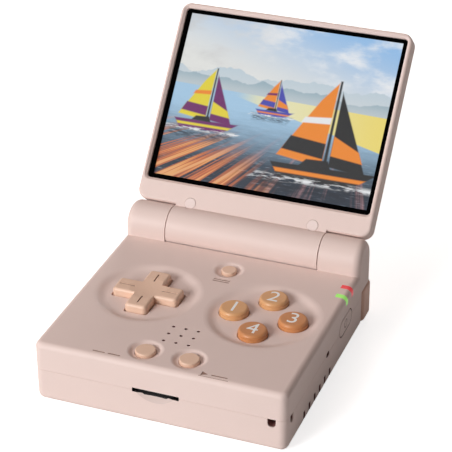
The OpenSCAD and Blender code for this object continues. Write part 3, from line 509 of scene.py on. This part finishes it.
def grown(context, places, tree, values):
    """The plain mesh that the Geometry Nodes tree makes at these places with these values."""
    points = bpy.data.meshes.new(tree.name + " places")
    points.from_pydata(places, [], [])
    holder = placed(context, tree.name, points)
    modifier = holder.modifiers.new("tree", "NODES")
    modifier.node_group = tree
    names = {item.name: item.identifier for item in tree.interface.items_tree if item.in_out == "INPUT"}
    for name, value in values.items():
        modifier[names[name]] = value
    return plain_mesh(context, holder)


class CONSOLE_OT_shell(bpy.types.Operator):
    """Moulded plastic on the case and the lid, with dark paint in the sunk marks, and painted shade inside
    the holes, gaps, vents, card slot and finger notch
    """

    bl_idname = "console.shell"
    bl_label = "Shell"

    def execute(self, context):
        finish = context.scene.console_finish
        ink, painted_hollow_shade = finish.ink_colour, finish.hollow_colour
        low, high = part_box("bottom_shell")
        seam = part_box("top_shell")[0].z
        # The case's top face, which the small keys stand 0.25 mm proud of
        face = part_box("menu_button")[1].z - 0.25 * MM

        card_low, card_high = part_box("memory_card")
        slot_x = (card_low.x - 2 * MM, card_high.x + 2 * MM)
        # Painted shade inside the card slot, and over the top of the finger notch just under it, so that the
        # slit looks evenly dark
        slot = box(slot_x, span(low.y, 0.06, 2.4), span(seam, -0.72, 0.72), finish.slot_colour)
        slot_lip_shade = box(slot_x, span(low.y, 0.35, 2.4), span(seam, -1.15, 0), finish.slot_colour)
        # Painted shade: the finger notch under the slot is 14 % darker than the shell
        finger_notch_shade = box(slot_x, span(low.y, 0.03, 2.4), span(seam, -3.6, -0.6),
                           [v * 0.86 for v in finish.shell_colour[:3]] + [1])

        key_low, key_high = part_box("power_button")
        reset_low, reset_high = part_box("reset_switch")
        # Painted shade in the gap round the side key and in the reset switch's hole
        under_side = span(high.x, -3, -0.05)
        key_gap = box(under_side, (key_low.y, key_high.y), (key_low.z, key_high.z), painted_hollow_shade)
        reset_hole = box(under_side, (reset_low.y, reset_high.y),
                         (reset_low.z - 1 * MM, reset_high.z + 1 * MM), painted_hollow_shade)

        # Painted shade inside the speaker's holes and in the gap under the lid's barrel
        rim = 1.7 * MM
        speaker_low, speaker_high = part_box("speaker")
        speaker_holes = box((speaker_low.x + rim, speaker_high.x - rim),
                            (speaker_low.y + rim, speaker_high.y - rim), span(face, -3, -0.08), painted_hollow_shade)
        ear = 12.8 * MM
        barrel_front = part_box("lid_bezel")[0].y
        barrel_gap = box((low.x + ear, high.x - ear), span(barrel_front, -0.6, 1.2),
                         span(face, -3, -0.06), painted_hollow_shade)
        menu_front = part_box("menu_button")[0].y
        sunk = span(face, -0.35, -0.05)
        upper = [
            box(span(0, -3.2, 3.2), span(menu_front, -5.4, -2.5), sunk, ink),
            box(span(0, -22, -11.5), span(low.y, 1.8, 3.2), sunk, ink),
            box(span(0, 12, 21), span(low.y, 1.2, 3.8), sunk, ink),
            slot, key_gap, reset_hole, speaker_holes, barrel_gap,
        ]

        # The strap's tunnel goes in at the front and comes out at the right side, before the vents. Shade is
        # painted inside the vents and inside the tunnel
        strap_z = span(seam, -2.8, 0.1)
        vents_y = (low.y + 12 * MM, high.y - 10 * MM)
        lower = [
            finger_notch_shade, slot_lip_shade, slot, key_gap, reset_hole,
            box(span(high.x, -1.7, -0.12), vents_y, span(low.z, 0.9, 4.5), painted_hollow_shade),
            box(span(high.x, -5.8, -3.2), span(low.y, 0.4, 5.8), strap_z, painted_hollow_shade),
            box(span(high.x, -5.8, -0.4), span(low.y, 3.2, 5.8), strap_z, painted_hollow_shade),
        ]

        # The side key's sunk sign is darkened with the same painted shade
        key = middle_of("power_button")
        sign = box(span(key_high.x, -0.4, -0.03), span(key.y, -2, 2), span(key.z, -2, 2), painted_hollow_shade)
        for name, nodes, marks in (
            ("upper shell plastic", ["top_shell"], upper),
            ("lower shell plastic", ["bottom_shell"], lower),
            ("lid plastic", ["lid_bezel", "lid_cover"], []),
            ("side key plastic", ["power_button"], [sign]),
        ):
            paint(nodes, plastic(name, finish.shell_colour, **SHELL, marks=marks))
        paint(["screw_covers"], plastic("plug rubber", linear(240, 220, 214), **RUBBER))
        return {"FINISHED"}


class CONSOLE_OT_keys(bpy.types.Operator):
    """Satin plastic on every key and button"""

    bl_idname = "console.keys"
    bl_label = "Keys"

    def execute(self, context):
        finish = context.scene.console_finish
        # One sunk line on each arm of the cross key, 7 mm from its middle
        middle, top = middle_of("dpad"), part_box("dpad")[1].z
        arm, half_length, half_width = 7, 2.7, 0.26
        depth = span(top, -0.5, -0.2)
        lines = []
        for side in (-arm, arm):
            along = (side - half_length, side + half_length)
            across = (-half_width, half_width)
            lines.append(box(span(middle.x, *along), span(middle.y, *across), depth, finish.ink_colour))
            lines.append(box(span(middle.x, *across), span(middle.y, *along), depth, finish.ink_colour))

        shoulder_keys = [n for n in NODES if n.startswith("shoulder_") and n.endswith(("outer", "inner"))]
        beige = plastic("key plastic", finish.key_colour, **KEY)
        paint(["menu_button", "select_button", "start_button", "volume_rocker"], beige)
        paint(["dpad"], plastic("cross key plastic", finish.key_colour, **KEY, marks=lines))
        paint(["button_left", "button_top"], plastic("button plastic", finish.button_colour, **BUTTON))
        paint(["button_right", "button_bottom"],
              plastic("second button plastic", finish.second_button_colour, **BUTTON))
        paint(shoulder_keys, plastic("shoulder key plastic", finish.shoulder_colour, **SHOULDER))
        return {"FINISHED"}


class CONSOLE_OT_lamps(bpy.types.Operator):
    """Lit plastic on the two light pipes"""

    bl_idname = "console.lamps"
    bl_label = "Light pipes"

    def execute(self, context):
        paint(["light_pipe_red"], lamp_plastic("red light pipe", linear(214, 48, 56), 0.42))
        paint(["light_pipe_green"], lamp_plastic("green light pipe", linear(146, 218, 98), 0.5))
        return {"FINISHED"}


class CONSOLE_OT_inside(bpy.types.Operator):
    """Metal, board, rubber and dark plastic on the inner parts and the sockets"""

    bl_idname = "console.inside"
    bl_label = "Inner parts"

    def execute(self, context):
        paint(
            ["usb_socket", "heat_spreader", "hinge_shafts", "shoulder_pins", "lid_screws", "hinge_cartridge",
             "lid_magnet", "dpad_pivot", "case_screws"],
            metal("stamped steel", linear(196, 198, 202), 0.32),
        )
        paint(
            ["card_socket", "processor", "speaker", "headphone_socket", "power_switch", "reset_switch",
             "volume_switch", "shoulder_switches", "lid_sensor"],
            plastic("dark plastic", linear(48, 48, 52), **SOCKET),
        )
        paint(
            ["dpad_membrane", "face_membrane", "small_key_membranes"],
            plastic("key rubber", linear(214, 210, 202), **RUBBER),
        )
        paint(["memory_card"], plastic("card plastic", linear(14, 13, 14), **CARD))
        paint(["main_board"], circuit_board())
        paint(["battery"], plastic("battery foil", linear(150, 156, 162), **FOIL))
        paint(["hinge_bush"], plastic("bush plastic", linear(232, 227, 216), **BUSH))
        paint(["display_flex"], plastic("flat cable", linear(196, 132, 54), **CABLE))
        return {"FINISHED"}


class CONSOLE_OT_screen(bpy.types.Operator):
    """The cover glass with its black border, and the lit picture behind it"""

    bl_idname = "console.screen"
    bl_label = "Screen"

    def execute(self, context):
        finish = context.scene.console_finish
        sizes = context.scene.console_sizes
        rows = (Vector((1, 0, 0)), LID_ALONG, LID_OUT)
        middle = middle_of("display_panel") + LID_ALONG * sizes.picture_lift

        glass = Sheet("cover glass")
        coordinates, *_ = glass.place()
        across, along, _ = glass.turned(coordinates, middle, rows)
        window = (abs(across) < sizes.picture_width / 2) * (abs(along) < sizes.picture_height / 2)
        smear = glass.noise(coordinates, 160.0, detail=3.0, roughness=0.6, seed=9.0)
        paint(["cover_glass"], glass.surface(
            Base_Color=(0.0005, 0.0005, 0.0005, 1), Roughness=0.12 + smear * 0.05, Specular_IOR_Level=0.02,
            Alpha=1 - window * 0.97,
        ))

        # The picture's place runs from -0.5 to 0.5 across, and by the same measure along the lid
        picture = Sheet("screen picture")
        coordinates, *_ = picture.place()
        across, along, _ = picture.turned(coordinates, middle, rows)
        across, along = across / sizes.picture_width, along / sizes.picture_width
        lit = (abs(across) < 0.5) * (abs(along) < 0.5 * sizes.picture_height / sizes.picture_width)
        colour = self.boats(picture, across, along, self.bay(picture, across, along))
        paint(["display_panel"], picture.surface(
            Base_Color=(0.01, 0.01, 0.01, 1), Roughness=0.3, Emission_Strength=finish.screen_light,
            Emission_Color=picture.mix(lit, (0.0, 0.0, 0.0, 1), colour),
        ))
        return {"FINISHED"}

    def flat(self, sheet, across, along, height):
        """The picture's place as coordinates for noise, flattened by height."""
        return sheet.node("CombineXYZ", None, [across, along * height, 0.0]).out()

    def bay(self, sheet, across, along):
        """A bright bay: clouds, two rows of hills, a sunlit beach and dark water with warm streaks."""
        horizon = 0.045 - across * 0.02
        up = along - horizon
        down = 0.0 - up
        blue = (up * 2.4 + across * 0.6).fade(0.0, 1.1)
        sky = sheet.mix(blue, linear(232, 233, 230), linear(150, 194, 238))
        puffs = sheet.noise(self.flat(sheet, across, along, 2.2), 4.2, detail=6.0, roughness=0.6, seed=21.0)
        heap = (puffs + up * 0.1).fade(0.46, 0.7)
        shaded = sheet.mix(across.fade(-0.5, 0.1), linear(206, 206, 206), linear(246, 247, 248))
        sky = sheet.mix(heap * 0.85, sky, shaded)
        rows = ((0.12, 3.0, 31.0, (196, 212, 222)), (0.07, 4.4, 35.0, (158, 182, 194)))
        for height, scale, seed, tint in rows:
            line = sheet.node("CombineXYZ", None, [across, 0.0, 0.0]).out()
            peaks = sheet.noise(line, scale, detail=5.0, roughness=0.55, seed=seed)
            ridge = (peaks - 0.22) * height * 2.6
            haze = (up / height).fade(0.0, 1.0)
            hill = sheet.mix(haze, linear(*[(v + 225) / 2 for v in tint]), linear(*tint))
            sky = sheet.mix((ridge - up).fade(-0.003, 0.003), sky, hill)

        ripple = sheet.noise(self.flat(sheet, across, along, 7.0), 9.0, detail=6.0, roughness=0.65, seed=41.0)
        deep = (down + (ripple - 0.5) * 0.12).fade(0.05, 0.36)
        water = sheet.mix(deep, linear(168, 204, 232), linear(34, 46, 62))
        glint = sheet.noise(self.flat(sheet, across, along, 12.0), 16.0, detail=4.0, roughness=0.6, seed=43.0)
        water = sheet.mix(glint.fade(0.56, 0.7) * 0.35, water, linear(196, 218, 236))

        # Streaks of evening light fan out over the near water from a point above the horizon
        fan_x, fan_y = across - 0.34, 0.16 - along
        angle = fan_x / fan_y.most(0.02)
        beam = sheet.node("CombineXYZ", None, [angle, fan_y * 0.12, 0.0]).out()
        streaks = sheet.noise(beam, 9.0, detail=4.0, roughness=0.62, seed=47.0)
        warm = down.fade(0.14, 0.3) * (across + up).fade(-0.66, -0.24, 1.0, 0.0)
        for start, end, tint in (
            (0.46, 0.53, (206, 112, 66)), (0.53, 0.58, (238, 172, 88)), (0.62, 0.68, (252, 226, 150)),
        ):
            water = sheet.mix(streaks.fade(start, end) * warm, water, linear(*tint))
        rose = streaks.fade(0.52, 0.66) * down.fade(0.12, 0.3) * 0.45
        water = sheet.mix(rose, water, linear(214, 158, 160))

        beach = (up + 0.06 + across * 0.2).fade(-0.003, 0.003) * across.fade(-0.22, -0.05)
        sand = sheet.mix(across.fade(0.0, 0.5), linear(236, 232, 186), linear(242, 222, 120))
        water = sheet.mix(beach, water, sand)
        return sheet.mix(up.fade(-0.002, 0.002), water, sky)

    def boats(self, sheet, across, along, colour):
        """Three sailing boats: a large one in black and orange, a yellow one, and a small violet one."""
        black, orange = linear(34, 34, 36), linear(242, 140, 44)
        yellow, purple = linear(232, 214, 58), linear(112, 36, 104)
        violet, white = linear(70, 74, 176), linear(238, 240, 242)
        # Each boat's place and size, and the colours of its hull, its sails and their stripe
        boats = (
            (0.24, -0.27, 1.0, black, orange, white),
            (-0.33, -0.13, 0.62, purple, yellow, orange),
            (-0.02, -0.025, 0.36, violet, orange, purple),
        )
        for x, y, size, hull, sail, trim in reversed(boats):
            u, v = (across - x) / size, (along - y) / size
            blur = 0.004 / size
            shadow = sheet.shape(u, v, [(-0.24, -0.1), (0.2, -0.1), (0.26, -0.02), (-0.26, -0.02)], 0.03)
            wave = sheet.noise(self.flat(sheet, u, v, 6.0), 14.0, detail=3.0, roughness=0.6, seed=51.0)
            colour = sheet.mix(shadow * wave.fade(0.35, 0.6) * 0.75, colour, linear(24, 30, 42))
            # Mast, mainsail with two stripes, foresail with one, hull with its line, and cabin
            layers = (
                ([(0.02, 0.0), (0.035, 0.0), (0.03, 0.44), (0.02, 0.44)], black),
                ([(-0.2, 0.07), (0.012, 0.045), (0.016, 0.43), (-0.05, 0.34)], sail),
                ([(-0.183, 0.1), (0.012, 0.08), (0.013, 0.15), (-0.152, 0.165)], hull),
                ([(-0.12, 0.23), (0.014, 0.24), (0.015, 0.27), (-0.106, 0.257)], trim),
                ([(0.045, 0.05), (0.22, 0.03), (0.15, 0.17), (0.04, 0.4)], hull),
                ([(0.045, 0.1), (0.193, 0.085), (0.168, 0.135), (0.044, 0.19)], sail),
                ([(-0.22, 0.035), (-0.17, -0.03), (0.16, -0.03), (0.27, 0.045)], hull),
                ([(-0.2, 0.012), (-0.187, -0.006), (0.2, -0.004), (0.224, 0.014)], sail),
                ([(-0.09, 0.035), (0.06, 0.035), (0.04, 0.075), (-0.06, 0.07)], black),
            )
            for corners, tint in layers:
                colour = sheet.mix(sheet.shape(u, v, corners, blur), colour, tint)
            light = sheet.noise(self.flat(sheet, u, v, 2.0), 10.0, detail=2.0, roughness=0.5, seed=53.0)
            foam = sheet.shape(u, v, [(-0.3, -0.045), (0.27, -0.04), (0.3, -0.02), (-0.27, -0.02)], 0.012)
            colour = sheet.mix(foam * (wave + light * 0.3).fade(0.6, 0.75), colour, white)
        return colour


class CONSOLE_OT_numerals(bpy.types.Operator):
    """A plain white numeral on each of the four round buttons"""

    bl_idname = "console.numerals"
    bl_label = "Numerals"

    # A numeral's height as a share of the type size
    share_of_type = 0.72

    def execute(self, context):
        sizes = context.scene.console_sizes
        white = plastic("white print", linear(252, 250, 248), **PRINT)
        for numeral, button in enumerate(("button_left", "button_top", "button_right", "button_bottom"), 1):
            middle, top = middle_of(button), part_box(button)[1].z
            text = bpy.data.curves.new("words", "FONT")
            text.body = str(numeral)
            text.align_x = text.align_y = "CENTER"
            text.size = sizes.numeral_height / self.share_of_type
            text.extrude = sizes.numeral_thickness / 2
            mesh = plain_mesh(context, placed(context, "words", text))
            mesh.transform(Matrix.Translation((middle.x, middle.y, top)))
            new_piece(context, "numeral_" + button, mesh, white, button)
        return {"FINISHED"}


class CONSOLE_OT_screws(bpy.types.Operator):
    """Domed screws with a cross recess, six under the case and two under the lid's plugs"""

    bl_idname = "console.screws"
    bl_label = "Screws"

    # Points whose depths differ by less than touch are on one face, and a screw's points are within reach
    touch = 0.01 * MM
    reach = 3 * MM

    def execute(self, context):
        wide = context.scene.console_sizes.screw_recess_width
        steel = metal("screw steel", linear(150, 152, 158), 0.3)
        for node, body, sink, recess in (
            ("case_screws", "case", Vector((0, 0, -1)), wide),
            ("lid_screws", "lid", LID_OUT, wide * 0.7),
        ):
            vertices = [vertex.co for vertex in NODES[node].data.vertices]
            ends = self.ends(vertices, sink)
            values = self.measure(vertices, sink, Vector(ends[0]))
            values["Recess width"] = recess
            values["Turn"] = sink.to_track_quat("Z", "Y").to_euler()
            mesh = grown(context, ends, self.recipe(node + " tree", steel), values)
            piece = new_piece(context, node + "_dressed", mesh, steel, body)
            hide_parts(node)
        return {"FINISHED"}

    def ends(self, vertices, sink):
        """The middle of each screw's outer end, from the CAD node's own points."""
        far = max(place.dot(sink) for place in vertices)
        groups = []
        for place in vertices:
            if place.dot(sink) > far - self.touch:
                near = [group for group in groups if (group[0] - place).length < 5 * MM]
                if near:
                    near[0].append(place)
                else:
                    groups.append([place])
        return [tuple(sum(group, Vector()) / len(group)) for group in groups]

    def measure(self, vertices, sink, end):
        """The sizes of the CAD node's screw whose outer end is at end."""
        rings = []
        for place in vertices:
            away = place - end
            depth = -away.dot(sink)
            radius = (away + sink * depth).length
            if radius < self.reach:
                rings.append((depth, radius))
        head = max(radius for _, radius in rings)
        length = max(depth for depth, _ in rings)
        shank = max(radius for depth, radius in rings if depth > length - self.touch)
        height = max(depth for depth, radius in rings if radius > head - 0.05 * MM)
        return {"Head width": head * 2, "Head height": height, "Shank width": shank * 2, "Length": length}

    def recipe(self, name, steel):
        """Geometry Nodes that set one screw on each point of the mesh they work on."""
        sheet = Recipe(name)
        places = sheet.value("Geometry", "Geometry")
        head, tall = sheet.value("Head width"), sheet.value("Head height")
        shank, length = sheet.value("Shank width"), sheet.value("Length")
        recess, turn = sheet.value("Recess width"), sheet.value("Turn", "Rotation")

        # The head is a flat cap rounded by a large sphere, with two grooves cut across it
        cap = sheet.moved(sheet.cylinder(40, head, tall), z=tall * -0.5)
        ball = sheet.node("MeshUVSphere", None, {"Segments": 40, "Rings": 24, "Radius": head * 0.9})
        dome = sheet.moved(ball.out("Mesh"), z=head * -0.9)
        cap = sheet.node("MeshBoolean", {"operation": "INTERSECT"}, {"Mesh": [cap, dome]}).out("Mesh")
        groove_length, groove_height = head * 0.62, tall * 1.2
        for wide, deep in ((groove_length, recess), (recess, groove_length)):
            size = sheet.node("CombineXYZ", None, [wide, deep, groove_height]).out()
            groove = sheet.node("MeshCube", None, {"Size": size}).out("Mesh")
            inputs = {"Mesh 1": cap, "Mesh 2": [groove]}
            cap = sheet.node("MeshBoolean", {"operation": "DIFFERENCE"}, inputs).out("Mesh")
        stem = sheet.moved(sheet.cylinder(24, shank, length - tall), z=(length + tall) * -0.5)
        screw = sheet.node("JoinGeometry", None, {"Geometry": [cap, stem]}).out()
        inputs = {"Points": places, "Instance": screw, "Rotation": turn}
        return sheet.ended(sheet.node("InstanceOnPoints", None, inputs).out(), steel)


class CONSOLE_OT_contacts(bpy.types.Operator):
    """Gilt contacts in the charging socket and under the memory card"""

    bl_idname = "console.contacts"
    bl_label = "Contacts"

    def execute(self, context):
        gilt = metal("gilt contacts", linear(214, 172, 92), 0.25)
        middle, high = middle_of("usb_socket"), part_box("usb_socket")[1]
        place = Vector((middle.x, high.y - 3.4 * MM, middle.z))
        self.row(context, "charging_contacts", gilt, "case", place,
                 {"Size": Vector((0.26, 3.6, 0.9)) * MM, "Count": 12, "Step": 0.5 * MM})
        low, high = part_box("memory_card")
        place = Vector(((low.x + high.x) / 2, high.y - 2.2 * MM, low.z + 0.02 * MM))
        self.row(context, "card_contacts", gilt, "memory_card", place,
                 {"Size": Vector((0.8, 2.8, 0.1)) * MM, "Count": 8, "Step": 1.1 * MM})
        return {"FINISHED"}

    def row(self, context, name, gilt, body, middle, values):
        """A row of boxes along X about middle."""
        sheet = Recipe(name + " tree")
        places = sheet.value("Geometry", "Geometry")
        contact = sheet.node("MeshCube", None, {"Size": sheet.value("Size", "Vector")}).out("Mesh")
        count, step = sheet.value("Count", "Int"), sheet.value("Step")
        start = sheet.node("CombineXYZ", None, [(count - 1) * step * -0.5, 0.0, 0.0]).out()
        offset = sheet.node("CombineXYZ", None, [step, 0.0, 0.0]).out()
        inputs = {"Count": count, "Start Location": start, "Offset": offset}
        line = sheet.node("MeshLine", None, inputs).out("Mesh")
        spread = sheet.node("InstanceOnPoints", None, {"Points": line, "Instance": contact}).out()
        again = sheet.node("InstanceOnPoints", None, {"Points": places, "Instance": spread}).out()
        mesh = grown(context, [tuple(middle)], sheet.ended(again, gilt), values)
        new_piece(context, name, mesh, gilt, body)


class CONSOLE_OT_stage(bpy.types.Operator):
    """A plain pale floor, soft studio light and the camera"""

    bl_idname = "console.stage"
    bl_label = "Stage"

    def execute(self, context):
        stage = context.scene.console_stage
        context.scene.view_settings.view_transform = "Standard"
        self.camera(context, stage)
        self.floor(context)
        self.sky(context, stage)
        # Each lamp's name, place, width, power and colour
        for lamp in (
            ("main lamp", (-0.58, -1.05, 0.56), 0.7, stage.lamp_power, (0.97, 0.99, 1.0)),
            ("top lamp", (-0.5, 0.1, 1.2), 0.8, stage.top_power, (1.0, 0.84, 0.78)),
            ("side lamp", (0.25, 0.12, 0.15), 0.1, stage.side_power, (1.0, 0.93, 0.9)),
            ("back lamp", (-0.15, 0.9, 0.12), 0.4, stage.back_power, (1.0, 0.98, 0.96)),
        ):
            self.lamp(context, *lamp)
        return {"FINISHED"}

    def camera(self, context, stage):
        """A camera that looks at the console as the photograph does."""
        azimuth, elevation = stage.camera_azimuth, stage.camera_elevation
        back = Vector((
            math.sin(azimuth) * math.cos(elevation), -math.cos(azimuth) * math.cos(elevation),
            math.sin(elevation),
        ))
        right = Vector((math.cos(azimuth), math.sin(azimuth), 0))
        up = back.cross(right)
        c, s = math.cos(stage.camera_roll), math.sin(stage.camera_roll)
        right, up = right * c + up * s, up * c - right * s
        lens = bpy.data.cameras.new("camera")
        lens.sensor_width = 36
        lens.lens = stage.focal_length
        lens.clip_start, lens.clip_end = 0.01, 20
        camera = placed(context, "camera", lens)
        turn = Matrix((right, up, back)).transposed().to_4x4()
        camera.matrix_world = Matrix.Translation(stage.camera_place) @ turn
        context.scene.camera = camera

    def floor(self, context):
        """A floor that takes shadows, looks white from above and is clear from below."""
        mesh = bpy.data.meshes.new("floor")
        reach = 3.0
        corners = [(-reach, -reach, 0), (reach, -reach, 0), (reach, reach, 0), (-reach, reach, 0)]
        mesh.from_pydata(corners, [], [(0, 1, 2, 3)])
        placed(context, "floor", mesh)
        sheet = Sheet("floor paper")
        paper = sheet.node("BsdfDiffuse", None, {"Color": (0.8, 0.8, 0.8, 1)}).out()
        glow = sheet.node("Emission", None, {"Color": (1, 1, 1, 1), "Strength": 0.75}).out()
        both = sheet.node("AddShader", None, [paper, glow]).out()
        above = sheet.node("MixShader", None, [sheet.seen(), paper, both]).out()
        clear = sheet.node("BsdfTransparent").out()
        below = sheet.node("NewGeometry").out("Backfacing")
        sheet.finish(sheet.node("MixShader", None, [below, above, clear]).out())
        mesh.materials.append(sheet.material)

    def sky(self, context, stage):
        """White to the camera, and a faint light on the object that is weaker from the right."""
        world = bpy.data.worlds.new("studio")
        world.use_nodes = True
        context.scene.world = world
        studio = Studio(world)
        direction = studio.node("TexCoord").out("Generated")
        right = studio.node("SeparateXYZ", None, [direction]).out("X")
        strength = right.fade(-0.4, 0.9, stage.sky_light, stage.sky_light * 0.2)
        sky = studio.node("Background", None, {"Color": (*stage.sky_colour, 1), "Strength": strength}).out()
        white = studio.node("Background", None, {"Color": (1, 1, 1, 1), "Strength": 1.0}).out()
        studio.finish(studio.node("MixShader", None, [studio.seen(), sky, white]).out())

    def lamp(self, context, name, place, width, power, colour):
        """A round soft lamp that the camera doesn't see, turned to the console."""
        light = bpy.data.lights.new(name, "AREA")
        light.shape = "DISK"
        light.size = width
        light.energy = power
        light.color = colour
        lamp = placed(context, name, light)
        lamp.visible_camera = False
        lamp.location = place
        aim = Vector((0, 0, 0.03)) - Vector(place)
        lamp.rotation_euler = aim.to_track_quat("-Z", "Y").to_euler()


class CONSOLE_PT_panel(bpy.types.Panel):
    """Lists the settings and the steps"""

    bl_idname = "CONSOLE_PT_panel"
    bl_label = "Console"
    bl_space_type = "VIEW_3D"
    bl_region_type = "UI"
    bl_category = "Console"

    def draw(self, context):
        for settings in ("console_finish", "console_sizes", "console_stage"):
            group = getattr(context.scene, settings)
            for name in group.bl_rna.properties.keys():
                if name not in {"rna_type", "name"}:
                    self.layout.prop(group, name)
        for step in STEPS:
            self.layout.operator(step.bl_idname)


STEPS = (
    CONSOLE_OT_shell,
    CONSOLE_OT_keys,
    CONSOLE_OT_lamps,
    CONSOLE_OT_inside,
    CONSOLE_OT_screen,
    CONSOLE_OT_numerals,
    CONSOLE_OT_screws,
    CONSOLE_OT_contacts,
    CONSOLE_OT_stage,
)
CLASSES = (ConsoleFinish, ConsoleSizes, ConsoleStage, *STEPS, CONSOLE_PT_panel)


def register():
    for cls in CLASSES:
        bpy.utils.register_class(cls)
    bpy.types.Scene.console_finish = bpy.props.PointerProperty(type=ConsoleFinish)
    bpy.types.Scene.console_sizes = bpy.props.PointerProperty(type=ConsoleSizes)
    bpy.types.Scene.console_stage = bpy.props.PointerProperty(type=ConsoleStage)


def unregister():
    del bpy.types.Scene.console_finish
    del bpy.types.Scene.console_sizes
    del bpy.types.Scene.console_stage
    for cls in reversed(CLASSES):
        bpy.utils.unregister_class(cls)


def main():
    register()
    for step in STEPS:
        group, name = step.bl_idname.split(".")
        getattr(getattr(bpy.ops, group), name)()


if __name__ == "__main__":
    main()
